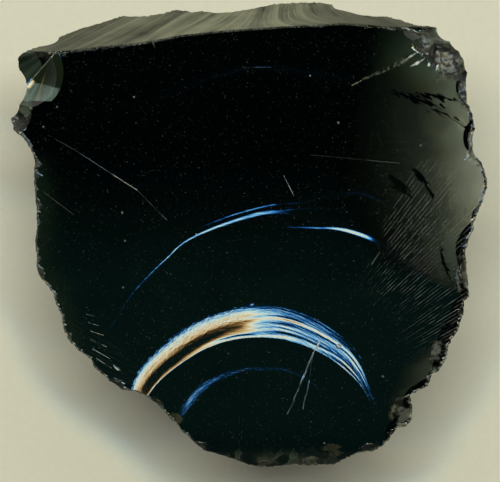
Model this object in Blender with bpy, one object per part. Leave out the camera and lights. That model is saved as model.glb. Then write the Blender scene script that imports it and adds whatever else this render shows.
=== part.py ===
"""A hand-sized chunk of obsidian, lying on its back with its big glassy fracture face upwards.

The chunk is one natural solid. It starts as a rough core lofted through the rim that shows from above,
and is then knapped as the real stone was: each fracture is a convex tool taken away with a Boolean, so
that it leaves a concave scar with the ripples that run round its point of impact.

Metres, +Z up. The origin is at the middle of the footprint, on the surface that the stone lies on.
"""

import math
import random

import bmesh
import bpy
import numpy as np
from mathutils import Matrix, Vector

MM = 0.001

# Driving dimensions
FACE_Z = 29.5 * MM          # the level of the fracture face, in the middle of the stone
FACE_SAG = 1.6 * MM         # how far the face drops towards the left and right rims
HALF_WIDTH = 45.4 * MM      # half the width of the rim
RIM_DEPTH = 0.45 * MM       # how far under the face the side rims lie: a thin broken edge
CORE_TOP_Z = 45.0 * MM
CORE_FOOT_Z = -6.0 * MM
CORE_FOOT_SCALE = 0.80      # the core narrows to this share of the rim at its foot
STOCK = 80.0 * MM           # how far each tool reaches beyond the stone

# The fracture face: a bulb of percussion near the lower rim, and a step that runs round it
BULB = (2.8 * MM, -40.2 * MM)
BULB_RADIUS = 20.2 * MM     # from the bulb's centre to the crest of the step, at its nearest
BULB_STRETCH = 3.5 * MM     # the crest lies this much further out at the sides
BULB_LEAN = math.radians(75.0)
STEP_HEIGHT = 2.0 * MM
STEP_SLOPE_LEFT = 0.30
STEP_SLOPE_RIGHT = 0.24
STEP_LENGTH = 7.4 * MM      # the slope fades to a third over this distance
LIP_DROP = 3.4 * MM         # how far the bulb falls to the lower rim
LIP_START_Y = -35.5 * MM
RIPPLE_RADII = [31.0 * MM, 43.0 * MM, 55.0 * MM, 68.0 * MM]
RIPPLE_HEIGHT = 0.22 * MM
RIPPLE_WIDTH = 1.7 * MM

# The striking platform: the steep wall along the upper rim
PLATFORM_RUN = 0.30         # how far the wall moves out for each unit that it falls: 73 degrees
PLATFORM_FOOT = 0.8 * MM     # the rim lies this much under the foot of the wall
FLUTE_DEPTH = 0.45 * MM
FLUTE_PITCH = 8.5 * MM
FLUTE_START = 8.0 * MM      # they reach their full depth this far under the face
FLUTE_LEAN = 0.65           # the flutes run across the wall as they fall

# The rim as seen from above, counter-clockwise from the upper left corner, in millimetres
RIM = [
    (-43.5, 34.0), (-44.1, 33.3), (-43.9, 30.8), (-43.3, 28.0), (-44.4, 25.1), (-45.4, 23.4),
    (-45.4, 21.9), (-44.6, 19.5), (-42.8, 18.1), (-41.6, 16.4), (-40.9, 14.7), (-40.8, 11.2),
    (-40.6, 7.8), (-40.3, 4.4), (-40.2, 1.6), (-40.6, -1.3), (-40.3, -4.3), (-40.2, -7.0),
    (-39.4, -8.7), (-37.9, -10.3), (-37.1, -11.6), (-36.4, -13.8), (-35.4, -15.7), (-35.2, -18.0),
    (-34.2, -20.2), (-32.5, -22.1), (-29.9, -23.9), (-29.4, -25.5), (-26.9, -27.4), (-25.9, -28.5),
    (-23.7, -29.8), (-21.2, -30.1), (-18.7, -31.4), (-16.8, -32.9), (-15.7, -34.2), (-13.6, -36.3),
    (-12.6, -37.6), (-10.4, -39.5), (-8.6, -41.2), (-6.0, -41.9), (-2.9, -42.9), (0.1, -44.1),
    (3.3, -44.5), (8.6, -43.9), (11.7, -44.2), (16.1, -44.0), (18.0, -43.0), (20.8, -41.7),
    (23.7, -41.4), (25.6, -40.3), (26.9, -38.9), (28.1, -37.0), (29.9, -36.6), (31.0, -35.4),
    (31.1, -32.6), (30.6, -30.8), (32.4, -29.8), (34.1, -29.0), (34.8, -26.8), (36.1, -26.2),
    (37.6, -23.8), (38.1, -21.1), (39.6, -19.2), (40.2, -16.9), (41.0, -15.1), (40.9, -12.9),
    (41.9, -12.2), (41.8, -9.7), (41.4, -6.0), (41.2, -3.2), (43.0, -0.5), (42.7, 1.8),
    (43.7, 4.0), (44.7, 6.8), (45.4, 8.6), (45.3, 10.5), (44.4, 13.3), (42.9, 15.2),
    (43.7, 17.1), (42.9, 20.6), (42.6, 22.6), (41.5, 25.1), (41.4, 27.8), (41.7, 30.3),
    (41.0, 32.1), (40.7, 34.4), (38.3, 36.4), (37.3, 37.8), (36.0, 39.0), (34.5, 39.4),
    (31.6, 39.7), (29.3, 40.8), (26.2, 41.6), (23.7, 41.5), (21.9, 42.3), (19.5, 43.3),
    (17.3, 44.0), (14.0, 44.6), (9.8, 44.6), (6.7, 44.5), (4.1, 44.2), (0.7, 43.4),
    (-3.7, 42.6), (-8.1, 42.8), (-11.4, 42.9), (-14.0, 43.4), (-16.8, 42.6), (-19.9, 42.1),
    (-22.3, 42.9), (-26.7, 41.5), (-30.2, 40.3), (-31.9, 39.8), (-35.8, 38.0), (-38.1, 36.5),
    (-41.8, 34.9),
]

# The arris between the fracture face and the platform, left to right, in millimetres
ARRIS = [
    (-60.0, 33.0), (-43.5, 34.1), (-36.0, 34.4), (-28.0, 35.4), (-19.5, 36.3), (-13.0, 37.6),
    (-6.0, 38.4), (0.5, 38.9), (6.5, 39.3), (12.0, 39.6), (18.0, 39.9), (23.0, 39.5), (29.0, 39.0),
    (34.5, 38.8), (60.0, 36.0),
]

# Each large scar of the back: the lowest point of its floor, the way it faces out of the stone, its
# bowl's two radii, where its impact lies from that point across and along, and how far from the impact
# its floor turns out of the stone again. All in millimetres.
BACK_SCARS = {
    "right_wedge": dict(
        at=(33, 8, 25.4), out=(0.27, 0.02, -0.96), bowl=(125, 110), impact=(13, 4), length=22,
    ),
    "lower_right_wedge": dict(
        at=(27, -23, 24.4), out=(0.27, -0.27, -0.92), bowl=(70, 70), impact=(9, -8), length=17,
    ),
    "right_flank": dict(
        at=(20, 16, 10.5), out=(0.68, 0.18, -0.71), bowl=(45, 70), impact=(16, 12), length=34,
    ),
    "lower_right_flank": dict(
        at=(16, -12, 10.0), out=(0.62, -0.33, -0.71), bowl=(50, 60), impact=(12, -14), length=36,
    ),
    "lower_flank": dict(
        at=(6, -31, 13.5), out=(0.12, -0.73, -0.67), bowl=(48, 60), impact=(4, -17), length=40,
    ),
    "lower_left_flank": dict(
        at=(-16.5, -20.5, 14.0), out=(-0.48, -0.58, -0.66), bowl=(60, 48), impact=(-9, -15), length=38,
    ),
    "left_flank": dict(
        at=(-29.5, 3, 14.5), out=(-0.80, -0.04, -0.60), bowl=(60, 46), impact=(-14, 10), length=40,
    ),
    "upper_left_flank": dict(
        at=(-29.5, 27.5, 7.0), out=(-0.64, 0.32, -0.70), bowl=(55, 38), impact=(-12, 11), length=34,
    ),
    "upper_flank": dict(
        at=(-5, 36, 2.6), out=(-0.05, 0.52, -0.85), bowl=(70, 42), impact=(3, 14), length=30,
    ),
    "upper_right_flank": dict(
        at=(19, 35.5, 7.0), out=(0.24, 0.50, -0.83), bowl=(48, 42), impact=(6, 14), length=30,
    ),
}
SCAR_REACH = 50.0 * MM
SCAR_RIPPLE_PITCH = 6.0 * MM
SCAR_RIPPLE_HEIGHT = 0.14 * MM
HINGE_RADIUS = 26.0 * MM

# The chips that show on the face, in millimetres: where each sits, its width, its depth, the direction it
# faces across the stone (degrees), and how steeply it faces up (degrees).
FACE_CHIPS = [
    (-39.0, 29.6, 9.5, 1.5, 165, 62),
    (-37.8, 25.4, 5.5, 1.1, 200, 62),
    (-42.6, 31.6, 5.0, 0.9, 160, 62),
    (-42.0, 27.2, 4.5, 0.7, 190, 66),
    (-42.8, 22.6, 6.0, 0.9, 175, 70),
    (-41.0, 33.9, 4.5, 1.0, 120, 55),
    (39.4, 34.6, 6.0, 1.1, 40, 60),
    (35.6, 37.4, 5.5, 1.0, 60, 60),
    (36.2, 33.6, 5.5, 0.6, 50, 78),
    (31.8, 37.4, 4.5, 0.7, 70, 65),
    (40.6, 30.4, 4.5, 0.8, 15, 60),
    (33.6, 35.0, 3.6, 0.5, 60, 75),
    (40.4, -7.6, 8.0, 0.9, -5, 66),
    (41.6, 15.0, 4.4, 0.45, 10, 74),
    (40.0, -14.6, 4.0, 0.5, -20, 70),
    (30.2, -33.6, 5.0, 0.6, -20, 72),
    (27.2, -37.6, 4.0, 0.8, -40, 58),
    (22.0, -40.4, 4.6, 0.7, -60, 60),
    (12.0, -43.0, 6.0, 0.9, -85, 58),
    (3.0, -43.4, 4.0, 0.7, -95, 58),
    (-8.6, -40.2, 5.0, 0.7, -130, 58),
    (-17.0, -31.2, 4.2, 0.6, -125, 68),
    (-24.4, -27.4, 6.0, 0.8, -120, 68),
    (-33.8, -18.8, 4.0, 0.6, -150, 60),
    (-39.2, -7.4, 4.5, 0.6, -165, 60),
    (-40.4, 5.6, 4.0, 0.5, 180, 60),
    (-40.8, 13.4, 4.5, 0.7, 165, 60),
    (-27.5, 36.6, 4.0, 0.5, 95, 60),
    (-6.0, 39.6, 3.6, 0.5, 95, 60),
    (21.5, 40.4, 4.4, 0.5, 85, 60),
]
# The chips under the rim. Each is bitten out by a ball that touches the rim from outside and below.
UNDER_CHIP_PITCH = 5.6 * MM
UNDER_CHIP_RADIUS = (3.5 * MM, 9.0 * MM)
UNDER_CHIP_TILT = (math.radians(40.0), math.radians(62.0))
UNDER_CHIP_BITE = 0.05 * MM
BIG_CHIP_RADIUS = 6.0 * MM
SEED = 11

GLASS_COLOUR = (0.012, 0.015, 0.014, 1.0)
GLASS_ROUGHNESS = 0.08
CREASE_ANGLE = math.radians(24.0)


def arris_y(x):
    """Where the arris runs, for a place across the stone."""
    xs, ys = np.array(ARRIS).T * MM
    return np.interp(x, xs, ys)


def crest_radius(angle):
    """From the bulb's centre to the crest of the step, in the direction of angle."""
    return BULB_RADIUS + BULB_STRETCH * (1 - np.cos(angle - BULB_LEAN))


def face_height(x, y):
    """The height of the fracture face. Past the crest the step falls fast, and then levels out."""
    across, along = x - BULB[0], y - BULB[1]
    radius, angle = np.hypot(across, along), np.arctan2(along, across)
    beyond = np.maximum(radius - crest_radius(angle), 0)
    leftness = 1 / (1 + np.exp(-(angle - math.radians(100)) / math.radians(6)))
    slope = STEP_SLOPE_RIGHT + (STEP_SLOPE_LEFT - STEP_SLOPE_RIGHT) * leftness
    height = FACE_Z + STEP_HEIGHT - FACE_SAG * (x / HALF_WIDTH) ** 2
    height = height - slope * STEP_LENGTH * (1 - np.exp(-beyond / STEP_LENGTH))
    for ring in RIPPLE_RADII:
        height = height + RIPPLE_HEIGHT * np.exp(-(((radius - ring) / RIPPLE_WIDTH) ** 2))
    lip = np.clip((LIP_START_Y - y) / (LIP_START_Y + HALF_WIDTH), 0, 1)
    return height - LIP_DROP * lip**2


def rim_height(x, y):
    """The rim lies just under the face, and along the platform it lies down where the wall ends."""
    outside = max(y - float(arris_y(x)), 0.0)
    fall = RIM_DEPTH + (outside / PLATFORM_RUN + PLATFORM_FOOT if outside else 0)
    return float(face_height(np.array(x), np.array(y))) - fall


def new_object(name, bm, collection):
    mesh = bpy.data.meshes.new(name)
    bmesh.ops.recalc_face_normals(bm, faces=bm.faces)
    bm.to_mesh(mesh)
    bm.free()
    obj = bpy.data.objects.new(name, mesh)
    collection.objects.link(obj)
    return obj


def make_core(collection):
    """The rough stone: its rim, lofted straight up and drawn in towards its foot."""
    bm = bmesh.new()
    rim = [bm.verts.new((x * MM, y * MM, rim_height(x * MM, y * MM))) for x, y in RIM]
    rim_edges = [bm.edges.new((a, b)) for a, b in zip(rim, rim[1:] + rim[:1])]
    for level, scale in ((CORE_TOP_Z, 1.0), (CORE_FOOT_Z, CORE_FOOT_SCALE)):
        grown = bmesh.ops.extrude_edge_only(bm, edges=rim_edges)["geom"]
        for vert in (v for v in grown if isinstance(v, bmesh.types.BMVert)):
            vert.co = Vector((vert.co.x * scale, vert.co.y * scale, level))
        bmesh.ops.contextual_create(bm, geom=[e for e in grown if isinstance(e, bmesh.types.BMEdge)])
    bmesh.ops.triangulate(bm, faces=bm.faces)
    return new_object("obsidian_chunk", bm, collection)


def close_tool(bm, edges, level):
    """Closes a tool's open working surface with walls up to a flat back."""
    grown = bmesh.ops.extrude_edge_only(bm, edges=edges)["geom"]
    for vert in (v for v in grown if isinstance(v, bmesh.types.BMVert)):
        vert.co.z = level
    bmesh.ops.contextual_create(bm, geom=[e for e in grown if isinstance(e, bmesh.types.BMEdge)])


def disc_sheet(bm, rings, spokes):
    """A sheet of rings round a centre point. rings is the points of each ring, inner to outer, and
    the first item is the centre. Returns the outer edges."""
    centre = bm.verts.new(rings[0])
    previous = [bm.verts.new(p) for p in rings[1]]
    for i in range(spokes):
        bm.faces.new((centre, previous[i], previous[(i + 1) % spokes]))
    for ring in rings[2:]:
        verts = [bm.verts.new(p) for p in ring]
        for i in range(spokes):
            j = (i + 1) % spokes
            bm.faces.new((previous[i], verts[i], verts[j], previous[j]))
        previous = verts
    return [bm.edges.get((previous[i], previous[(i + 1) % spokes])) for i in range(spokes)]


def make_face_tool(collection):
    """The block above the fracture face. Its rings follow the crest, so that the step stays crisp."""
    inner = [0.35, 0.7, 0.94]
    past_crest = (0, 0.9, 2.2, 4, 6.5, 9.5, 13, 17, 20.5, 23, 26, 30, 33.5, 37, 41, 46, 52, 60, 75)
    outer = [d * MM for d in past_crest]
    fine, coarse = math.radians(2.7), math.radians(12)
    over_stone = np.arange(-0.35, math.pi + 0.35, fine)
    off_stone = np.arange(math.pi + 0.4, 2 * math.pi - 0.45, coarse)
    angles = np.concatenate([over_stone, off_stone])
    crest = crest_radius(angles)
    radii = [share * crest for share in inner] + [crest + d for d in outer]
    rings = [(BULB[0], BULB[1], float(face_height(np.array(BULB[0]), np.array(BULB[1]))))]
    for radius in radii:
        x, y = BULB[0] + radius * np.cos(angles), BULB[1] + radius * np.sin(angles)
        rings.append(list(zip(x, y, face_height(x, y))))
    bm = bmesh.new()
    close_tool(bm, disc_sheet(bm, rings, len(angles)), STOCK)
    return new_object("face_tool", bm, collection)


def make_platform_tool(collection):
    """The block outside the striking platform: a steep wall with leaning flutes, closed behind."""
    columns = np.linspace(-62, 62, 63) * MM
    levels = np.array([-20, -6, 2, 7, 12, 17, 22, 26, 30, 36, 60]) * MM
    bm = bmesh.new()
    rows = []
    for z in levels:
        row = []
        for x in columns:
            y = arris_y(x) + PLATFORM_RUN * (FACE_Z - z)
            run = (x - FLUTE_LEAN * (FACE_Z - z)) / FLUTE_PITCH
            flute = 0.6 * abs(math.sin(math.pi * run)) + 0.4 * abs(math.sin(2.3 * run + 1))
            y -= FLUTE_DEPTH * flute * min(max((FACE_Z - z) / FLUTE_START, 0.1), 1.0)
            row.append(bm.verts.new((x, y, z)))
        rows.append(row)
    for low, high in zip(rows, rows[1:]):
        for i in range(len(columns) - 1):
            bm.faces.new((low[i], low[i + 1], high[i + 1], high[i]))
    open_edges = [e for e in bm.edges if e.is_boundary]
    grown = bmesh.ops.extrude_edge_only(bm, edges=open_edges)["geom"]
    for vert in (v for v in grown if isinstance(v, bmesh.types.BMVert)):
        vert.co.y = STOCK
    bmesh.ops.contextual_create(bm, geom=[e for e in grown if isinstance(e, bmesh.types.BMEdge)])
    return new_object("platform_tool", bm, collection)


def make_scar_tool(name, at, out, bowl, impact, length, collection, reach=SCAR_REACH, rings=14, spokes=32):
    """A shallow dome whose surface is one scar's floor. It stands on the scar's lowest point, at, and
    its rings run round the impact, which lies off to one side. Lengths are in millimetres."""
    bm = bmesh.new()
    impact = [v * MM for v in impact]
    bowl = [v * MM for v in bowl]
    angles = np.linspace(0, 2 * math.pi, spokes, endpoint=False)

    def floor(radius, angle):
        x, y = impact[0] + radius * np.cos(angle), impact[1] + radius * np.sin(angle)
        ripple = SCAR_RIPPLE_HEIGHT * np.cos(2 * math.pi * radius / SCAR_RIPPLE_PITCH)
        hinge = max(radius - length * MM, 0) ** 2 / (2 * HINGE_RADIUS)
        return x, y, x**2 / (2 * bowl[0]) + y**2 / (2 * bowl[1]) + ripple + hinge

    points = [tuple(float(v) for v in floor(0.0, 0.0))]
    for radius in np.linspace(reach / rings, reach, rings):
        points.append(list(zip(*floor(radius, angles))))
    close_tool(bm, disc_sheet(bm, points, spokes), STOCK)
    tool = new_object(name, bm, collection)
    turn = Vector(out).normalized().to_track_quat("Z", "Y")
    tool.matrix_world = Matrix.Translation(Vector(at) * MM) @ turn.to_matrix().to_4x4()
    return tool


def make_chip_tool(name, at, out, radius, depth, collection):
    """A ball that bites into the stone from outside, as deep as this under a point."""
    bm = bmesh.new()
    finer = 3 if radius > BIG_CHIP_RADIUS else 2
    middle = Matrix.Translation(Vector(at) + Vector(out).normalized() * (radius - depth))
    turn = Vector(out).normalized().to_track_quat("Z", "Y").to_matrix().to_4x4()
    bmesh.ops.create_icosphere(bm, subdivisions=finer, radius=radius, matrix=middle @ turn)
    return new_object(name, bm, collection)


def make_face_chips(collection):
    """The chips broken from the upper side of the rim."""
    for i, (x, y, width, depth, azimuth, lift) in enumerate(FACE_CHIPS):
        azimuth, lift = math.radians(azimuth), math.radians(lift)
        out = (math.cos(azimuth) * math.cos(lift), math.sin(azimuth) * math.cos(lift), math.sin(lift))
        z = float(face_height(np.array(x * MM), np.array(y * MM)))
        radius = (width**2 / 4 + depth**2) / (2 * depth) * MM
        make_chip_tool(f"face_chip_{i}", (x * MM, y * MM, z), out, radius, depth * MM, collection)


def make_under_chips(collection):
    """The chips broken from the underside all along the rim."""
    rng = random.Random(SEED)
    due = 0.0
    for (x0, y0), (x1, y1) in zip(RIM, RIM[1:] + RIM[:1]):
        due += math.hypot(x1 - x0, y1 - y0) * MM
        if due < UNDER_CHIP_PITCH:
            continue
        due -= UNDER_CHIP_PITCH * rng.uniform(0.8, 1.2)
        across = Vector((y1 - y0, x0 - x1, 0)).normalized()
        tilt, radius = rng.uniform(*UNDER_CHIP_TILT), rng.uniform(*UNDER_CHIP_RADIUS)
        out = across * math.cos(tilt) - Vector((0, 0, math.sin(tilt)))
        at = (x1 * MM, y1 * MM, rim_height(x1 * MM, y1 * MM))
        name = f"under_chip_{len(collection.objects)}"
        make_chip_tool(name, at, out, radius, UNDER_CHIP_BITE, collection)


def make_ground_tool(collection):
    """The block under the stone: it leaves the flat fracture that the stone lies on."""
    bm = bmesh.new()
    bmesh.ops.create_cube(bm, size=1.0)
    bmesh.ops.scale(bm, vec=(2 * STOCK, 2 * STOCK, STOCK), verts=bm.verts)
    bmesh.ops.translate(bm, vec=(0, 0, -STOCK / 2), verts=bm.verts)
    return new_object("ground_tool", bm, collection)


def cut(obj, tool):
    """Takes the tool away from the object, and hides the tool."""
    tool.hide_render = True
    tool.display_type = "WIRE"
    boolean = obj.modifiers.new("cut_" + tool.name, "BOOLEAN")
    boolean.operation = "DIFFERENCE"
    boolean.solver = "EXACT"
    boolean.object = tool


def new_collection(name):
    collection = bpy.data.collections.new(name)
    bpy.context.scene.collection.children.link(collection)
    return collection


def cut_all(obj, tools):
    """Takes every tool of a collection away from the object at once."""
    for tool in tools.objects:
        tool.hide_render = True
        tool.display_type = "WIRE"
    boolean = obj.modifiers.new("cut_" + tools.name, "BOOLEAN")
    boolean.operation = "DIFFERENCE"
    boolean.solver = "EXACT"
    boolean.operand_type = "COLLECTION"
    boolean.collection = tools


def black_glass():
    material = bpy.data.materials.new("obsidian")
    material.use_nodes = True
    shader = material.node_tree.nodes["Principled BSDF"]
    shader.inputs["Base Color"].default_value = GLASS_COLOUR
    shader.inputs["Roughness"].default_value = GLASS_ROUGHNESS
    shader.inputs["Metallic"].default_value = 0.0
    return material


def shade_smooth_by_angle(obj):
    """Smooth across the scars, and crisp along the ridges between them."""
    group = bpy.data.node_groups.new("smooth_scars", "GeometryNodeTree")
    group.interface.new_socket("Geometry", in_out="INPUT", socket_type="NodeSocketGeometry")
    group.interface.new_socket("Geometry", in_out="OUTPUT", socket_type="NodeSocketGeometry")
    start, end = group.nodes.new("NodeGroupInput"), group.nodes.new("NodeGroupOutput")
    faces, edges = (group.nodes.new("GeometryNodeSetShadeSmooth") for _ in range(2))
    edges.domain = "EDGE"
    angle = group.nodes.new("GeometryNodeInputMeshEdgeAngle")
    crease = group.nodes.new("FunctionNodeCompare")
    crease.operation = "GREATER_THAN"
    crease.inputs["B"].default_value = CREASE_ANGLE
    edges.inputs["Shade Smooth"].default_value = False
    group.links.new(start.outputs["Geometry"], faces.inputs["Geometry"])
    group.links.new(faces.outputs["Geometry"], edges.inputs["Geometry"])
    group.links.new(angle.outputs["Unsigned Angle"], crease.inputs["A"])
    group.links.new(crease.outputs["Result"], edges.inputs["Selection"])
    group.links.new(edges.outputs["Geometry"], end.inputs["Geometry"])
    obj.modifiers.new("smooth_scars", "NODES").node_group = group


def main():
    for obj in list(bpy.data.objects):
        bpy.data.objects.remove(obj, do_unlink=True)
    stone = new_collection("obsidian")
    tools = new_collection("tools")
    chips = new_collection("chips")
    chunk = make_core(stone)
    chunk.data.materials.append(black_glass())
    cut(chunk, make_face_tool(tools))
    cut(chunk, make_platform_tool(tools))
    for name, scar in BACK_SCARS.items():
        cut(chunk, make_scar_tool(name, **scar, collection=tools))
    make_face_chips(chips)
    make_under_chips(chips)
    cut_all(chunk, chips)
    cut(chunk, make_ground_tool(tools))
    shade_smooth_by_angle(chunk)


main()
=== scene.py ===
import math
import random
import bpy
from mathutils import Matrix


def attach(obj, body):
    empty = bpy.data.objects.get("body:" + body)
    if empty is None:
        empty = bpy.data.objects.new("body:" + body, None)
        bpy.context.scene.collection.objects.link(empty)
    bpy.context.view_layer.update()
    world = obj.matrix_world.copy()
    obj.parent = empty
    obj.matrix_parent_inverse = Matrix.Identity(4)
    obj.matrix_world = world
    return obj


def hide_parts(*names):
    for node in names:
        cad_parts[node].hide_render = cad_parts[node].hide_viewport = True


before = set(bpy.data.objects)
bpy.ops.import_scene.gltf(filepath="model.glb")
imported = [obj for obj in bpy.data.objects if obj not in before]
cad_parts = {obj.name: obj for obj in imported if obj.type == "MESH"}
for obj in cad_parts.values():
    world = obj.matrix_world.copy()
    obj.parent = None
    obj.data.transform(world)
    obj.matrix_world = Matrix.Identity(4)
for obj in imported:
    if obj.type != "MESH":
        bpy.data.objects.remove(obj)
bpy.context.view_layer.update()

from types import SimpleNamespace

import bmesh
import bpy
import numpy as np
from mathutils import Matrix, Vector
from mathutils.bvhtree import BVHTree
from mathutils.kdtree import KDTree

mm = 0.001


def setStops(ramp, stops):  # a ramp's places, from 0 to 1, and colours
    ramp.elements.remove(ramp.elements[1])
    for i, (at, colour) in enumerate(stops):
        stop = ramp.elements.new(at) if i else ramp.elements[0]
        stop.color = (*colour, 1)


class Wire:  # an output socket that adds, multiplies and compares like a number
    def __init__(self, tree, socket=None):
        self.tree = tree
        self.socket = socket

    def plug(self, node, inputs):  # the values or links of a node's sockets
        for name, value in inputs.items():
            if isinstance(value, Wire):
                self.tree.links.new(value.socket, node.inputs[name])
            else:
                node.inputs[name].default_value = value

    def make(self, kind, settings=None, inputs=None, out=0):  # any node: type, settings, sockets
        node = self.tree.nodes.new(kind)
        for name, value in (settings or {}).items():
            if name == "stops":
                setStops(node.color_ramp, value)
            else:
                setattr(node, name, value)
        self.plug(node, inputs or {})
        return Wire(self.tree, node.outputs[out]) if len(node.outputs) else node

    def port(self, name):  # another output of the same node
        return Wire(self.tree, self.socket.node.outputs[name])

    def maths(self, operation, *others):
        return self.make("ShaderNodeMath", {"operation": operation}, dict(enumerate((self, *others))))

    def flipped(self, operation, first):
        return self.make("ShaderNodeMath", {"operation": operation}, {0: first, 1: self})

    def __add__(self, other):
        return self.maths("ADD", other)

    def __radd__(self, other):
        return self.flipped("ADD", other)

    def __sub__(self, other):
        return self.maths("SUBTRACT", other)

    def __rsub__(self, other):
        return self.flipped("SUBTRACT", other)

    def __mul__(self, other):
        return self.maths("MULTIPLY", other)

    def __rmul__(self, other):
        return self.flipped("MULTIPLY", other)

    def __truediv__(self, other):
        return self.maths("DIVIDE", other)

    def __rtruediv__(self, other):
        return self.flipped("DIVIDE", other)

    def __pow__(self, other):
        return self.maths("POWER", other)

    def __abs__(self):
        return self.maths("ABSOLUTE")

    def __gt__(self, other):
        return self.maths("GREATER_THAN", other)

    def __lt__(self, other):
        return self.maths("LESS_THAN", other)

    def capped(self):  # never over 1
        return self.maths("MINIMUM", 1.0)

    def within(self, low, high):  # 0 below low, 1 above high, smooth between
        return self.make("ShaderNodeMapRange", {"interpolation_type": "SMOOTHSTEP"},
                         {"Value": self, "From Min": low, "From Max": high})

    def window(self, start, full, fading, end):  # 1 from full to fading, and 0 past start and end
        return self.within(start, full) * (1 - self.within(fading, end))

    def bell(self, middle, width):  # 1 at middle, and fading on both sides
        return (((self - middle) / width) ** 2 * -1.0).maths("EXPONENT")

    def vector(self, operation, *others):
        return self.make("ShaderNodeVectorMath", {"operation": operation}, dict(enumerate((self, *others))))

    def scaled(self, by):  # a vector or a colour, times a number
        return self.make("ShaderNodeVectorMath", {"operation": "SCALE"}, {0: self, "Scale": by})

    def times(self, colour):  # the colour, times this number
        return self.make("ShaderNodeVectorMath", {"operation": "SCALE"}, {0: colour, "Scale": self})

    def split(self):  # a vector's three parts
        parts = self.make("ShaderNodeSeparateXYZ", {}, {0: self})
        return [parts.port(name) for name in "XYZ"]

    def between(self, low, high):  # the first colour where this is 0, the second where it is 1
        low, high = (c if isinstance(c, Wire) else (*c, 1) for c in (low, high))
        inputs = {"Factor": self, "A": low, "B": high}
        return self.make("ShaderNodeMix", {"data_type": "RGBA"}, inputs, "Result")


def smooth(low, high, x):  # 0 at low and 1 at high, whichever is the greater
    t = np.clip((x - low) / (high - low), 0, 1)
    return t * t * (3 - 2 * t)


def along(pairs, x):
    xs, ys = np.array(pairs, float).T
    return np.interp(x, xs, ys)


def softly(pairs, x, spread=3.0):  # the same, rounded at its corners
    offsets = np.linspace(-spread, spread, 7)
    return sum(along(pairs, x + o) for o in offsets) / len(offsets)


def hum(x, seed, pitches, lean=0.0, y=0.0):  # a smooth wandering line made of waves, about -1 to 1
    rng = random.Random(seed)
    total = 0
    for pitch in pitches:
        turns = x / pitch + lean * y * rng.uniform(0.5, 1.5)
        total = total + np.sin(2 * math.pi * turns + rng.uniform(0, 6.28))
    return total / len(pitches)


# Every length is in millimetres, every slope is rise over run, and a direction is in degrees from the right.
stone = {
    "level": 29.5,                 # the fracture face's height, mid stone
    "bulbTop": 31.72,
    "sag": 1.6,                    # the drop towards the side rims
    "halfWidth": 45.4,
    "rimDepth": 0.45,              # the rim's edge lies this far under the face
    "toothStep": 0.42,
    "core": ((45.0, 1.0), (-6.0, 0.80)),   # the uncut block's ends: how high, and their size against the rim's
    "reach": 80.0,                 # the cutting tools go on this far
}
rim = [
    (-43.5, 34.0), (-44.1, 33.3), (-43.9, 30.8), (-43.3, 28.0), (-44.4, 25.1), (-45.4, 23.4),
    (-45.4, 21.9), (-44.6, 19.5), (-42.8, 18.1), (-41.6, 16.4), (-40.9, 14.7), (-40.8, 11.2),
    (-40.6, 7.8), (-40.3, 4.4), (-40.2, 1.6), (-40.6, -1.3), (-40.3, -4.3), (-40.2, -7.0),
    (-39.4, -8.7), (-37.9, -10.3), (-37.1, -11.6), (-36.4, -13.8), (-35.4, -15.7), (-35.2, -18.0),
    (-34.2, -20.2), (-32.5, -22.1), (-29.9, -23.9), (-29.4, -25.5), (-26.9, -27.4), (-25.9, -28.5),
    (-23.7, -29.8), (-21.2, -30.1), (-18.7, -31.4), (-16.8, -32.9), (-15.7, -34.2), (-13.6, -36.3),
    (-12.6, -37.6), (-10.4, -39.5), (-8.6, -41.2), (-6.0, -41.9), (-2.9, -42.9), (0.1, -44.1),
    (3.3, -44.5), (8.6, -43.9), (11.7, -44.2), (14.3, -43.9), (16.1, -44.0), (18.0, -43.0), (20.8, -41.7),
    (23.7, -41.4), (25.6, -40.3), (26.9, -38.9), (28.1, -37.0), (29.9, -36.6), (31.0, -35.4),
    (31.1, -32.6), (30.6, -30.8), (32.4, -29.8), (34.1, -29.0), (34.8, -26.8), (36.1, -26.2),
    (37.6, -23.8), (38.1, -21.1), (39.6, -19.2), (40.2, -16.9), (41.0, -15.1), (40.9, -12.9),
    (41.9, -12.2), (41.8, -9.7), (41.4, -6.0), (41.2, -3.2), (43.0, -0.5), (42.7, 1.8),
    (43.7, 4.0), (44.7, 6.8), (45.4, 8.6), (45.3, 10.5), (44.4, 13.3), (42.9, 15.2),
    (43.7, 17.1), (42.9, 20.6), (42.6, 22.6), (41.5, 25.1), (41.4, 27.8), (41.7, 30.3),
    (41.0, 32.1), (40.7, 34.4), (38.3, 36.4), (37.3, 37.8), (36.0, 39.0), (34.5, 39.4),
    (31.6, 39.7), (29.3, 40.8), (26.2, 41.6), (23.7, 41.5), (21.9, 42.3), (19.5, 43.3),
    (17.3, 44.0), (14.0, 44.6), (9.8, 44.6), (6.7, 44.5), (4.1, 44.2), (0.7, 43.4), (-1.5, 42.9),
    (-3.7, 42.6), (-8.1, 42.8), (-11.4, 42.9), (-14.0, 43.4), (-16.8, 42.6), (-19.9, 42.1),
    (-22.3, 42.9), (-26.7, 41.5), (-30.2, 40.3), (-31.9, 39.8), (-35.8, 38.0), (-38.1, 36.5),
    (-41.8, 34.9),
]
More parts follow.
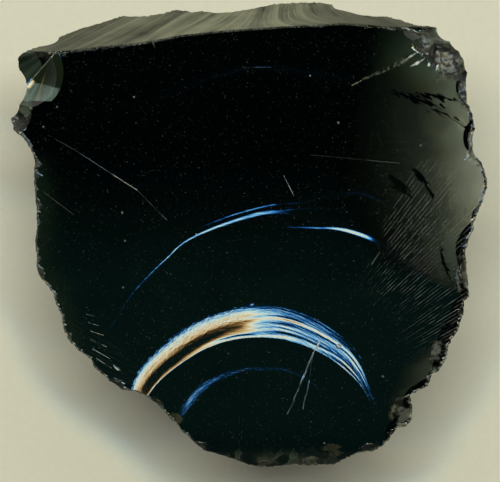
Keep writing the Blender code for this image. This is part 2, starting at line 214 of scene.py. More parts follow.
bulb = {
    "at": (2.8, -40.2),            # where the blow landed
    "crest": [
        (-40, 23.4), (0, 22.6), (16, 22.0), (21, 21.9), (31, 21.7), (43, 21.0), (60, 20.45), (78, 20.15),
        (99, 20.45), (116, 21.0), (135, 21.8), (153, 23.5), (180, 25.2), (230, 27.0)],
    # the band past the crest, by direction: how wide it is, and where its steepest strip lies across it
    "band": [
        (-40, 0.8), (10, 0.8), (24, 1.0), (31, 1.7), (38, 2.9), (46, 4.1), (64, 5.5), (86, 6.3), (107, 5.6),
        (124, 5.2), (141, 4.6), (151, 4.1), (160, 3.0), (175, 1.5), (230, 0.8)],
    "stripFrom": [
        (90, 0.44), (95, 0.45), (102, 0.40), (110, 0.32), (120, 0.25), (134, 0.19), (148, 0.14),
        (160, 0.1)],
    "stripTo": [
        (90, 0.46), (95, 0.49), (102, 0.50), (110, 0.49), (120, 0.46), (134, 0.43), (148, 0.42),
        (160, 0.40)],
    "stripSteep": [
        (86, 0.19), (90, 0.215), (94, 0.238), (98, 0.252), (104, 0.262), (116, 0.278), (150, 0.285),
        (165, 0.22), (180, 0.1)],
    "rightSteep": [
        (-40, 0.03), (12, 0.05), (20, 0.09), (28, 0.128), (38, 0.146), (50, 0.153), (62, 0.157),
        (80, 0.163), (92, 0.178), (100, 0.19)],
    "fading": [                    # and past the strip, to the band's outer edge
        (0, 0.250), (0.14, 0.238), (0.34, 0.211), (0.56, 0.198), (0.72, 0.184), (0.86, 0.168), (1.0, 0.144)],
    "innerSteep": 0.205,           # the thin bright line at the crest
    "gap": (0.10, 0.13, 0.035),    # the dark gap past that line: how much flatter, where, how wide
    "leftWaves": (0.19, 0.11, 0.07),
    "rightWaves": ((0.115, 0.171, 0.26), (0.053, 0.071)),
    "lip": (-35.5, 10.0, 3.2),     # the fall to the lower rim: from where, how long, how deep
}
ripples = {                        # round the bulb, by direction: how far out, how steep, how wide
    "lowerLeft": {
        "radius": [
            (85, 44.2), (90, 44.2), (97, 42.9), (103, 42.2), (109, 41.6), (112.5, 41.1), (114.5, 40.6),
            (117, 39.9), (124, 38.8), (132, 37.85), (139, 36.8), (150, 36.2)],
        "steep": [
            (78, 0.10), (82, 0.13), (86, 0.146), (90, 0.157), (95, 0.168), (100, 0.178), (106, 0.176),
            (111, 0.169), (116, 0.174), (121, 0.168), (126, 0.158), (132, 0.148), (139, 0.141),
            (146, 0.132), (153, 0.10), (165, 0.0)],
        "width": [(80, 0.7), (90, 0.58), (100, 0.45), (108, 0.31), (116, 0.19), (150, 0.17)]},
    "upper": {
        "radius": [
            (50, 50.4), (59, 51.5), (65, 51.3), (68.5, 51.3), (71.3, 50.6), (74, 49.2), (76, 48.7),
            (80.6, 46.5), (85, 46.0), (89, 45.4), (93.5, 44.6), (101.6, 43.45), (108, 42.7)],
        "steep": [
            (40, 0.0), (50, 0.10), (56, 0.110), (60, 0.116), (65, 0.129), (68, 0.136), (71, 0.132),
            (75, 0.124), (79, 0.126), (83, 0.148), (87, 0.160), (91, 0.166), (95, 0.168), (100, 0.160),
            (104, 0.146), (110, 0.12), (118, 0.0)],
        "width": [(60, 1.1), (72, 0.9), (80, 0.5), (86, 0.31), (100, 0.25)]},
    "right": {
        "radius": [
            (10, 42.0), (35, 42.8), (45, 43.6), (51.6, 44.1), (62.6, 44.15), (66, 43.9), (69.4, 43.6),
            (72.2, 43.2), (76.7, 42.3), (82, 41.7), (90, 41.4)],
        "steep": [
            (20, 0.0), (34, 0.09), (42, 0.108), (50, 0.113), (57, 0.116), (60.8, 0.119), (62, 0.150),
            (64.5, 0.178), (68, 0.184), (71, 0.178), (74, 0.166), (78, 0.162), (81, 0.153), (84, 0.142),
            (88, 0.10), (94, 0.0)],
        "width": [(40, 1.4), (58, 1.0), (62, 0.5), (66, 0.44), (70, 0.44), (75, 0.34), (90, 0.3)]},
    "middle": {
        "radius": [(70, 47.2), (84, 44.9), (92, 43.6), (100, 42.5)],
        "steep": [
            (60, 0.0), (70, 0.12), (78, 0.140), (84, 0.148), (88, 0.158), (93, 0.162), (98, 0.12),
            (103, 0.0)],
        "width": [(80, 0.34)]},
    "insideBulb": {
        "radius": [(0, 15.6), (60, 15.0), (90, 14.4), (120, 15.2), (140, 16.0), (160, 16.4), (200, 16.6)],
        "steep": [
            (-10, 0.05), (30, 0.10), (60, 0.132), (75, 0.139), (90, 0.143), (105, 0.142), (120, 0.145),
            (136, 0.151), (148, 0.153), (158, 0.142), (172, 0.10), (200, 0.0)],
        "width": [(60, 0.6), (90, 0.7), (125, 1.1), (150, 1.3)],
        "grain": 0.24},
    "far": {
        "radius": [(40, 72.0), (70, 71.0), (92, 71.6), (110, 68.0)],
        "steep": [(50, 0.0), (64, 0.08), (76, 0.112), (88, 0.122), (96, 0.120), (106, 0.10), (120, 0.0)],
        "width": [(90, 1.1)]},
}
platform = {                       # the steep wall along the upper rim, with flutes that fan out across it
    "arris": [
        (-60.0, 33.0), (-43.5, 34.1), (-36.0, 34.4), (-28.0, 35.4), (-19.5, 36.3), (-13.0, 37.6),
        (-6.0, 38.4), (0.5, 38.9), (6.5, 39.3), (12.0, 39.6), (18.0, 39.9), (23.0, 39.5), (29.0, 39.0), (34.5, 38.8),
        (60.0, 36.0)],
    "run": 0.30,
    "foot": 0.8,
    "flutes": [(9.0, 0.42), (4.1, 0.13), (1.9, 0.045), (0.8, 0.012)],   # pitch and depth of each layer
    "turnsOver": (-7, 14),         # left of this the flutes lean left, right of it they sweep right
    "leanLeft": 2.0,
    "sweepRight": (9.0, 1.6),      # how far, and how soon
    "columns": (-50, 50.1, 0.34),
    "falls": ((-25, -8, -3, -1), (-0.4, 24, 0.7), (26, 32, 44)),
}
backScars = {                      # lowest point, the way it faces, bowl radii, impact point, length to the hinge
    "rightWedge": ((33, 8, 25.4), (0.27, 0.02, -0.96), (125, 110), (13, 4), 22),
    "lowerRightWedge": ((27, -23, 24.4), (0.27, -0.27, -0.92), (70, 70), (9, -8), 17),
    "rightFlank": ((20, 16, 10.5), (0.68, 0.18, -0.71), (45, 70), (16, 12), 34),
    "lowerRightFlank": ((16, -12, 10.0), (0.62, -0.33, -0.71), (50, 60), (12, -14), 36),
    "lowerFlank": ((6, -31, 13.5), (0.12, -0.73, -0.67), (48, 60), (4, -17), 40),
    "lowerLeftFlank": ((-16.5, -20.5, 14.0), (-0.48, -0.58, -0.66), (60, 48), (-9, -15), 38),
    "leftFlank": ((-29.5, 3, 14.5), (-0.80, -0.04, -0.60), (60, 46), (-14, 10), 40),
    "upperLeftFlank": ((-29.5, 27.5, 7.0), (-0.64, 0.32, -0.70), (55, 38), (-12, 11), 34),
    "upperFlank": ((-5, 36, 2.6), (-0.05, 0.52, -0.85), (70, 42), (3, 14), 30),
    "upperRightFlank": ((19, 35.5, 7.0), (0.24, 0.50, -0.83), (48, 42), (6, 14), 30),
}
scarFloor = {"reach": 50.0, "pitch": 6.0, "height": 0.14, "hinge": 26.0, "rings": 56, "spokes": 84}
faceChips = [                      # x, y, width, depth, the way it faces across, how steeply it faces up
    (-38.9, 29.4, 9.6, 1.05, 172, 66), (-43.4, 30.0, 7.0, 0.8, 160, 62), (-42.4, 26.6, 4.5, 0.6, 190, 62),
    (-43.0, 22.4, 6.4, 0.7, 178, 66), (-41.6, 34.2, 4.0, 0.7, 120, 55), (39.6, 34.4, 6.0, 0.8, 38, 62),
    (35.8, 37.2, 5.5, 0.8, 62, 60), (36.6, 33.6, 5.5, 0.5, 55, 80), (31.8, 37.4, 4.5, 0.5, 75, 68),
    (40.8, 30.2, 5.0, 0.6, 12, 62), (33.6, 35.4, 4.0, 0.4, 95, 76), (41.3, -6.6, 5.5, 0.45, -8, 66),
    (42.6, 15.2, 2.6, 0.3, 10, 62), (40.6, -14.2, 3.0, 0.35, -20, 66), (30.8, -33.6, 3.4, 0.4, -20, 66),
    (27.6, -38.2, 2.6, 0.4, -40, 60), (22.6, -41.2, 3.0, 0.4, -60, 60), (12.0, -43.6, 3.8, 0.5, -85, 58),
    (3.0, -44.0, 2.8, 0.4, -95, 58), (-9.0, -40.8, 3.2, 0.4, -130, 58), (-17.4, -32.0, 2.6, 0.4, -125, 62),
    (-25.2, -28.4, 3.4, 0.4, -120, 62), (-34.4, -19.4, 2.6, 0.4, -150, 60),
    (-39.8, -7.8, 2.8, 0.4, -165, 60), (-40.4, 5.6, 2.6, 0.35, 180, 60), (-41.0, 13.0, 3.4, 0.5, 165, 60),
    (-27.5, 37.0, 2.6, 0.35, 95, 60), (-6.0, 40.0, 2.4, 0.35, 95, 60), (21.5, 40.6, 2.8, 0.35, 85, 60)]
underChips = {
    "pitch": 5.6, "radius": (3.5, 9.0), "tilt": (math.radians(40), math.radians(62)), "bite": 0.02, "seed": 11}
faceGrid = {                       # the face's mesh is finest where the light's colours lie
    "spokes": [(-16, 30, 1.0), (30, 60, 0.75), (60, 112, 0.40), (112, 160, 0.62), (160, 200, 1.3),
               (200, 343, 6.0)],
    "outer": [(31.2, 41.4, 0.7), (41.4, 44.0, 0.085), (44.0, 48, 0.15), (48, 53, 0.26), (53.2, 69, 1.6),
              (69.2, 74, 0.5), (75, 104, 2.4)],
    "followed": 42.2,              # the rings near here follow the two brightest ripples
}
table = {"turn": 0.5, "step": 0.05, "reach": 106, "evened": ((33.0, 28.5), (60.0, 52.0))}


def arrisAt(x):
    return along(platform["arris"], x)


def crestAt(degrees):
    return softly(bulb["crest"], degrees, 5)


def faceTrim(x, y):  # the sag to the sides, the fall to the lower rim, and long low swells
    start, length, drop = bulb["lip"]
    lip = np.clip((start - y) / length, 0, 1)
    swell = 0.08 * np.sin(x / 13 + 1) * np.sin(y / 17) + 0.03 * np.sin(x / 6.1) * np.cos(y / 7.3 + 2)
    return -stone["sag"] * (x / stone["halfWidth"]) ** 2 - drop * lip**2 + swell


def trimSlope(radius, degrees, half=0.1):  # how much of the slope is the trim's, going out from the bulb
    turn = np.radians(degrees)
    ends = [faceTrim(bulb["at"][0] + r * np.cos(turn), bulb["at"][1] + r * np.sin(turn))
            for r in (radius - half, radius + half)]
    return (ends[0] - ends[1]) / (2 * half)


def bandSlope(across, degrees):  # across is 0 at the crest and 1 at the band's outer edge
    start, end = softly(bulb["stripFrom"], degrees), softly(bulb["stripTo"], degrees)
    strip = softly(bulb["stripSteep"], degrees)
    first, last = bulb["innerSteep"], bulb["fading"][0][1]
    flatter, gapAt, gapWidth = bulb["gap"]
    rise = np.clip(across / start, 0, 1)
    gap = flatter * np.exp(-(((across - gapAt) / gapWidth) ** 2)) * smooth(128, 104, degrees)
    inner = first + (strip - first) * rise**1.6 - gap
    outer = np.clip((across - end) / (1 - end), 0, 1)
    fading = along(bulb["fading"], outer)
    fading = fading + (strip - last) * (1 - smooth(0, 0.14, outer))
    left = np.where(across < end, inner, fading)
    left = left + 0.013 * hum(across, 3, bulb["leftWaves"], 0.010, degrees) * smooth(0.1, 0.5, across)
    level = softly(bulb["rightSteep"], degrees)
    warped = across + 0.035 * hum(degrees, 41, (31, 47))
    coarse, fine = bulb["rightWaves"]
    streaks = hum(warped, 17, coarse, 0.012, degrees) * 0.052 * (1 + 0.6 * hum(degrees, 37, (19, 31)))
    streaks = streaks + hum(warped, 23, fine, 0.016, degrees) * 0.024
    right = level + 0.014 * np.exp(-(((across - 0.66) / 0.12) ** 2)) + streaks
    right = right + (first - right) * np.exp(-((across / 0.045) ** 2)) - 0.035 * smooth(0.7, 1.05, across)
    return left + (right - left) * smooth(103, 90, degrees)


def faceSlope(radius, degrees):  # how steeply the face falls away from the bulb
    past = radius - crestAt(degrees)
    across = past / softly(bulb["band"], degrees)
    bulbSlope = 0.008 + 0.02 * smooth(12, 20, radius)
    ragged = 1 + 0.05 * hum(degrees, 31, (2.3, 3.7, 5.9))
    inBand = smooth(-0.012, 0.03, across) * (1 - smooth(1.0, 1.16, across / ragged))
    trim = trimSlope(radius, degrees)
    slope = bulbSlope + (bandSlope(np.maximum(across, 0), degrees) - trim - bulbSlope) * inBand
    slope = slope * (1 - smooth(1.2, 2.5, across) * 0.9)
    for ripple in ripples.values():
        away = (radius - softly(ripple["radius"], degrees, 1.5)) / softly(ripple["width"], degrees, 2)
        grain = ripple.get("grain", 0.035) * hum(radius, 7, (0.52, 0.37, 0.81), 0.006, degrees)
        steep = softly(ripple["steep"], degrees, 1) * (1 + grain)
        steepness = np.maximum(steep - trim - np.maximum(slope, 0.012), 0)
        slope = slope + steepness * np.exp(-np.abs(away) ** 3)
    return slope


def makeFaceGrid():
    degrees = np.concatenate([np.arange(*run) for run in faceGrid["spokes"]])
    crest = crestAt(degrees)
    width = softly(bulb["band"], degrees)
    inner = np.concatenate([np.linspace(1.5, 12, 7), np.arange(12.9, 18.7, 0.2)])
    acrossBand = np.concatenate([np.arange(-0.06, 0.06, 0.015), np.arange(0.06, 1.2, 0.024)])
    rings = [np.full_like(degrees, r) * (1 + (crest / crest.min() - 1) * smooth(15, 19, r)) for r in inner]
    rings += [crest + width * v for v in acrossBand]
    rings += [crest + width * 1.2 + (30.5 - crest - width * 1.2) * t for t in (0.12, 0.3, 0.6, 1.0)]
    lean = softly(ripples["lowerLeft"]["radius"], degrees, 1.5) - faceGrid["followed"]
    rightLean = softly(ripples["right"]["radius"], degrees, 1.5) - faceGrid["followed"]
    lean = lean + (rightLean - lean) * smooth(87.5, 83.5, degrees)
    for radius in np.concatenate([np.arange(*run) for run in faceGrid["outer"]]):
        rings.append(radius + lean * smooth(30.5, 41.4, radius) * smooth(53, 47.5, radius))
    return degrees, np.array(rings)


def faceTable():  # the slopes added up along spokes, once, for every place on the face
    degrees = np.arange(-90, 270.1, table["turn"])
    steps = np.arange(0, table["reach"], table["step"])
    slope = np.array([faceSlope(steps, np.full_like(steps, d)) for d in degrees])
    falls = np.cumsum((slope[:, 1:] + slope[:, :-1]) / 2 * table["step"], axis=1)
    falls = np.hstack([np.zeros((len(degrees), 1)), falls])
    for radius, start in table["evened"]:     # evened round the bulb, so that no crease runs outwards
        here = falls[:, round(radius / table["step"])]
        even = np.convolve(np.pad(here, 18, mode="wrap"), np.ones(37) / 37, "valid")
        falls = falls + (even - here)[:, None] * smooth(start, radius, steps)[None, :]
    return falls


fallen = faceTable()


def faceHeight(x, y):
    x, y = np.asarray(x, float), np.asarray(y, float)
    across, up = x - bulb["at"][0], y - bulb["at"][1]
    radius = np.clip(np.hypot(across, up), 0, table["reach"] - 0.2) / table["step"]
    degrees = ((np.degrees(np.arctan2(up, across)) + 90) % 360) / table["turn"]
    i, j = np.floor(degrees).astype(int), np.floor(radius).astype(int)
    s, t = degrees - i, radius - j
    low = fallen[i, j] * (1 - t) + fallen[i, j + 1] * t
    high = fallen[i + 1, j] * (1 - t) + fallen[i + 1, j + 1] * t
    return stone["bulbTop"] + faceTrim(x, y) - (low * (1 - s) + high * s)


def onFace(x, y):
    return (x, y, float(faceHeight(x, y)))


def rimHeight(x, y):
    outside = max(y - float(arrisAt(x)), 0.0)
    fall = stone["rimDepth"] + (outside / platform["run"] + platform["foot"] if outside else 0)
    return float(faceHeight(x, y)) - fall


def linked(name, data):
    made = bpy.data.objects.new(name, data)
    bpy.context.scene.collection.objects.link(made)
    return made


def newObject(name, bm):
    mesh = bpy.data.meshes.new(name)
    bmesh.ops.recalc_face_normals(bm, faces=bm.faces)
    bm.to_mesh(mesh)
    bm.free()
    return linked(name, mesh)


def pull(bm, edges, level, axis=2, scale=1.0):  # walls from the open edges to a flat end
    grown = bmesh.ops.extrude_edge_only(bm, edges=edges)["geom"]
    for vert in (v for v in grown if isinstance(v, bmesh.types.BMVert)):
        end = [v * scale for v in vert.co]
        end[axis] = level * mm
        vert.co = end
    bmesh.ops.contextual_create(bm, geom=[e for e in grown if isinstance(e, bmesh.types.BMEdge)])


def discSheet(bm, centre, rings):  # rings of points, inner to outer
    spokes = len(rings[0])
    middle = bm.verts.new(centre)
    previous = [bm.verts.new(p) for p in rings[0]]
    for i in range(spokes):
        bm.faces.new((middle, previous[i], previous[(i + 1) % spokes]))
    for ring in rings[1:]:
        verts = [bm.verts.new(p) for p in ring]
        for i in range(spokes):
            j = (i + 1) % spokes
            bm.faces.new((previous[i], verts[i], verts[j], previous[j]))
        previous = verts
    return [bm.edges.get((previous[i], previous[(i + 1) % spokes])) for i in range(spokes)]


def toothedRim():  # the rim, with small teeth between its corners
    points = []
    for (x0, y0), (x1, y1) in zip(rim, rim[1:] + rim[:1]):
        size = math.hypot(x1 - x0, y1 - y0)
        steps = max(2, round(size / stone["toothStep"]))
        for k in range(steps):
            t = k / steps
            x, y = x0 + (x1 - x0) * t, y0 + (y1 - y0) * t
            tooth = 0.13 * math.sin(5.1 * x + 3.3 * y) * math.sin(2.3 * x - 4.7 * y)
            tooth = tooth + 0.05 * math.sin(9.7 * x - 8.9 * y) if k else 0
            points.append((x - (y1 - y0) / size * tooth, y + (x1 - x0) / size * tooth))
    return points


def makeCore():
    bm = bmesh.new()
    verts = [bm.verts.new((x * mm, y * mm, rimHeight(x, y) * mm)) for x, y in toothedRim()]
    edges = [bm.edges.new((a, b)) for a, b in zip(verts, verts[1:] + verts[:1])]
    for level, scale in stone["core"]:
        pull(bm, edges, level, scale=scale)
    bmesh.ops.triangulate(bm, faces=bm.faces)
    return newObject("obsidianStone", bm)


def makeFaceTool():
    degrees, radii = makeFaceGrid()
    angles = np.radians(degrees)
    x = bulb["at"][0] + radii * np.cos(angles)
    y = bulb["at"][1] + radii * np.sin(angles)
    z = faceHeight(x, y)
    bm = bmesh.new()
    middle = [v * mm for v in onFace(*bulb["at"])]
    rings = [list(zip(x[i] * mm, y[i] * mm, z[i] * mm)) for i in range(len(radii))]
    pull(bm, discSheet(bm, middle, rings), stone["reach"])
    return newObject("faceTool", bm)


def makePlatformTool():
    above, wall, below = platform["falls"]
    columns = np.arange(*platform["columns"])
    falls = np.concatenate([above, np.arange(*wall), below])
    rightness = smooth(*platform["turnsOver"], columns)
    sweep, soon = platform["sweepRight"]
    bm = bmesh.new()
    rows = []
    for fall in falls[::-1]:
        plan = max(fall, 0) * platform["run"]
        phase = columns - (1 - rightness) * platform["leanLeft"] * plan
        phase = phase + rightness * sweep * (1 - math.exp(-plan / soon))
        depth = sum(d * (0.5 + 0.5 * hum(phase, 40 + i, (p, p * 1.37, p * 0.71)))
                    for i, (p, d) in enumerate(platform["flutes"]))
        depth = depth * min(max(fall / 7.0, 0.12), 1)
        y = arrisAt(columns) + platform["run"] * fall - depth
        z = (stone["level"] - fall) * mm
        rows.append([bm.verts.new((c * mm, v * mm, z)) for c, v in zip(columns, y)])
    for low, high in zip(rows, rows[1:]):
        for i in range(len(columns) - 1):
            bm.faces.new((low[i], low[i + 1], high[i + 1], high[i]))
    pull(bm, [e for e in bm.edges if e.is_boundary], stone["reach"], axis=1)
    return newObject("platformTool", bm)


def makeScarTool(name, at, out, bowl, impact, length):
    bm = bmesh.new()
    angles = np.linspace(0, 2 * math.pi, scarFloor["spokes"], endpoint=False)
    seed = len(name)

    def floorAt(radius, angle):
        x, y = impact[0] + radius * np.cos(angle), impact[1] + radius * np.sin(angle)
        ripple = scarFloor["height"] * np.cos(2 * math.pi * radius / scarFloor["pitch"])
        turn = np.degrees(angle)
        ripple = ripple + 0.03 * hum(radius, seed, (1.7, 2.6, 3.9), 0.01, turn) * smooth(3, 14, radius)
        hackle = 0.035 * hum(turn, seed + 9, (360 / 41, 360 / 67, 360 / 29)) * smooth(14, 34, radius)
        hinge = max(radius - length, 0) ** 2 / (2 * scarFloor["hinge"])
        z = x**2 / (2 * bowl[0]) + y**2 / (2 * bowl[1]) + ripple + hackle + hinge
        return x * mm, y * mm, z * mm

    centre = tuple(float(v) for v in floorAt(0.0, 0.0))
    rings = [list(zip(*floorAt(r, angles))) for r in np.linspace(0.9, scarFloor["reach"], scarFloor["rings"])]
    pull(bm, discSheet(bm, centre, rings), stone["reach"])
    tool = newObject(name, bm)
    turn = Vector(out).normalized().to_track_quat("Z", "Y")
    tool.matrix_world = Matrix.Translation(Vector(at) * mm) @ turn.to_matrix().to_4x4()
    return tool


def positions(mesh, what="co"):
    values = np.empty(len(mesh.vertices) * 3, np.float32)
    mesh.vertices.foreach_get(what, values)
    return values.reshape(-1, 3)


def makeChip(name, at, out, radius, depth):  # a ball that bites this deep under a point
    out = Vector(out).normalized()
    middle = Matrix.Translation((Vector(at) + out * (radius - depth)) * mm)
    turn = out.to_track_quat("Z", "Y").to_matrix().to_4x4()
    bm = bmesh.new()
    bmesh.ops.create_icosphere(bm, subdivisions=4, radius=radius * mm, matrix=middle @ turn)
    return newObject(name, bm)


def wrinkle(obj, seed, size):  # makes a ball slightly lumpy, so that its scar carries ripples
    rng = np.random.default_rng(seed)
    co, normals = positions(obj.data), positions(obj.data, "normal")
    waves = np.concatenate([rng.normal(size=(3, 3)) * 900, rng.normal(size=(3, 3)) * 2600])
    shift = sum(np.sin(co @ w + 2 * i) * (1.0 if i < 3 else 0.35) for i, w in enumerate(waves))[:, None]
    co = co + normals * shift * size * mm
    obj.data.vertices.foreach_set("co", co.astype(np.float32).ravel())


def makeChips():
    chips = []
    for x, y, width, depth, azimuth, lift in faceChips:
        azimuth, lift = math.radians(azimuth), math.radians(lift)
        out = (math.cos(azimuth) * math.cos(lift), math.sin(azimuth) * math.cos(lift), math.sin(lift))
        radius = (width**2 / 4 + depth**2) / (2 * depth)
        chips.append(makeChip("faceChip", onFace(x, y), out, radius, depth))
    rng = random.Random(underChips["seed"])
    due = 0.0
    for (x0, y0), (x1, y1) in zip(rim, rim[1:] + rim[:1]):
        due += math.hypot(x1 - x0, y1 - y0)
        if due < underChips["pitch"]:
            continue
        due -= underChips["pitch"] * rng.uniform(0.8, 1.2)
        across = Vector((y1 - y0, x0 - x1, 0)).normalized()
        tilt, radius = rng.uniform(*underChips["tilt"]), rng.uniform(*underChips["radius"])
        out = across * math.cos(tilt) - Vector((0, 0, math.sin(tilt)))
        chips.append(makeChip("underChip", (x1, y1, rimHeight(x1, y1)), out, radius, underChips["bite"]))
    for i, chip in enumerate(chips):
        wrinkle(chip, i, 0.05 if chip.name.startswith("face") else 0.015)
    return chips


def settle(target):  # the modifiers' result becomes the mesh
    graph = bpy.context.evaluated_depsgraph_get()
    mesh = bpy.data.meshes.new_from_object(target.evaluated_get(graph))
    target.modifiers.clear()
    target.data = mesh


def cutEach(target, tools):
    for tool in tools:
        boolean = target.modifiers.new("cut", "BOOLEAN")
        boolean.operation = "DIFFERENCE"
        boolean.solver = "MANIFOLD"
        boolean.object = tool
    settle(target)
    for tool in tools:
        bpy.data.objects.remove(tool, do_unlink=True)


def makeGround():  # takes off what lies under the resting face
    bm = bmesh.new()
    bmesh.ops.create_cube(bm, size=1.0)
    bmesh.ops.scale(bm, vec=(0.2, 0.2, 0.06), verts=bm.verts)
    bmesh.ops.translate(bm, vec=(0, 0, -0.03), verts=bm.verts)
    return newObject("ground", bm)


# Crumbs knocked off along an edge: balls strung on a path and cut out of the stone.
crumbs = {
    "rim": {"Spacing": 0.72, "Smallest": 0.20, "Largest": 0.95, "Out": 0.80, "Up": 0.45, "Seed": 3},
    "arris": {"Spacing": 1.1, "Smallest": 0.08, "Largest": 0.40, "Out": 0.80, "Up": 0.5, "Seed": 8},
    "corner": {"Spacing": 0.42, "Smallest": 0.22, "Largest": 0.85, "Out": 0.3, "Up": 0.75, "Seed": 21},
}
cornerPath = [
    (41.5, 27), (40, 30.5), (38, 33), (35, 35.6), (33, 36.6), (31, 38.2), (34.5, 37.9), (37, 36.2), (39.6, 33.4)]


def crumbTree():
    tree = bpy.data.node_groups.new("edgeCrumbs", "GeometryNodeTree")
    numbers = {name: "Int" if name == "Seed" else "Float" for name in crumbs["rim"]}
    sockets = {"Geometry": "Geometry", "Path": "Object", **numbers, "Material": "Material"}
    for name, kind in sockets.items():
        made = tree.interface.new_socket(name, in_out="INPUT", socket_type="NodeSocket" + kind)
        if name in crumbs["rim"]:
            made.default_value = crumbs["rim"][name]
    tree.interface.new_socket("Geometry", in_out="OUTPUT", socket_type="NodeSocketGeometry")
    start = Wire(tree).make("NodeGroupInput")
    seed = start.port("Seed")

    def scatter(low, high, more):  # a random vector for each point
        return start.make("FunctionNodeRandomValue", {"data_type": "FLOAT_VECTOR"},
                          {"Min": (low,) * 3, "Max": (high,) * 3, "Seed": seed + more})

    path = start.make("GeometryNodeObjectInfo", {"transform_space": "ORIGINAL"},
                      {"Object": start.port("Path")})
    curve = start.make("GeometryNodeMeshToCurve", {}, {"Mesh": path.port("Geometry")})
    evened = start.make("GeometryNodeResampleCurve", {"mode": "LENGTH"},
                        {"Curve": curve, "Length": start.port("Spacing") * mm})
    share = start.make("FunctionNodeRandomValue", {"data_type": "FLOAT"}, {"Seed": seed}, 1)
    smallest = start.port("Smallest")
    size = (smallest + (start.port("Largest") - smallest) * share**2.6) * mm    # mostly small ones
    outward = start.make("GeometryNodeInputTangent").vector("CROSS_PRODUCT", (0.0, 0.0, 1.0))
    outward = outward.vector("NORMALIZE")
    rise = start.make("ShaderNodeCombineXYZ", {}, {"Z": start.port("Up")})
    away = outward.scaled(start.port("Out")).vector("ADD", rise).vector("ADD", scatter(-0.35, 0.35, 1.0))
    moved = start.make("GeometryNodeSetPosition", {}, {"Geometry": evened, "Offset": away.scaled(size)})
    ball = start.make("GeometryNodeMeshIcoSphere", {}, {"Radius": 1.0, "Subdivisions": 2})
    strung = start.make("GeometryNodeInstanceOnPoints", {}, {
        "Points": moved, "Instance": ball, "Rotation": scatter(0.0, 6.3, 2.0),
        "Scale": scatter(0.6, 1.3, 3.0).scaled(size)})
    bitten = start.make("GeometryNodeMeshBoolean", {"operation": "DIFFERENCE", "solver": "MANIFOLD"},
                        {"Mesh 1": start.port("Geometry"), "Mesh 2": strung})
    whole = start.make("GeometryNodeRealizeInstances", {}, {"Geometry": bitten})
    dressed = start.make("GeometryNodeSetMaterial", {},
                         {"Geometry": whole, "Material": start.port("Material")})
    start.make("NodeGroupOutput", {}, {"Geometry": dressed})
    return tree


def nibble(target, tree, name, points, closed, material):
    mesh = bpy.data.meshes.new(name)
    edges = [(i, i + 1) for i in range(len(points) - 1)] + ([(len(points) - 1, 0)] if closed else [])
    mesh.from_pydata([tuple(v * mm for v in p) for p in points], edges, [])
    path = linked(name, mesh)
    modifier = target.modifiers.new("crumbs", "NODES")
    modifier.node_group = tree
    names = {item.name: item.identifier for item in tree.interface.items_tree if item.in_out == "INPUT"}
    for socket, value in {**crumbs[name], "Path": path, "Material": material}.items():
        modifier[names[socket]] = value
    settle(target)
    bpy.data.objects.remove(path, do_unlink=True)


# Finishes. Black glass where the stone is thick, clear smoky glass where it is thin.
finish = {
    "black": (0.0002, 0.0010, 0.0011),
    "blackGreen": (0.0018, 0.0080, 0.0074),
    "margin": (0.008, 0.016, 0.010),
    "frost": (0.70, 0.72, 0.68),        # crushed edges, scratches and dust
    "blueFrost": (0.20, 0.27, 0.34),
    "crumb": (0.34, 0.37, 0.28),
    # painted highlight: the colour laid on for glints where small facets catch the light
    "paintedGlint": (0.80, 0.86, 0.84),
    "shard": (0.12, 0.15, 0.10),
    "flake": (0.080, 0.078, 0.042),
    "bowl": (0.011, 0.018, 0.009),
    # painted reflection: the shine on the bowls' facets along the foot
    "bowlShine": (0.13, 0.19, 0.17),
    # painted highlight along the ridge in the inner bowl
    "bowlRidgeHighlight": (0.24, 0.17, 0.09),
    "wall": (0.185, 0.195, 0.133),      # the platform's lit tone: partly its fine matt grain, partly painted light, for the pale floor it reflects and the lit sides of its flutes
    # painted shade on the flutes' dark sides
    "wallDark": (0.004, 0.006, 0.004),
    "gloss": 0.03,
    "brokenRough": 0.26,
    "ior": 1.5,
    "smoke": (0.13, 0.26, 0.19),
    "smokeDensity": 610.0,
    "thin": 11.0,                       # stone thinner than this is made clear
    "thinFrom": 12.0,                   # to the right of this
    "darkens": (7.0, 10.6),             # and it turns black between these
}
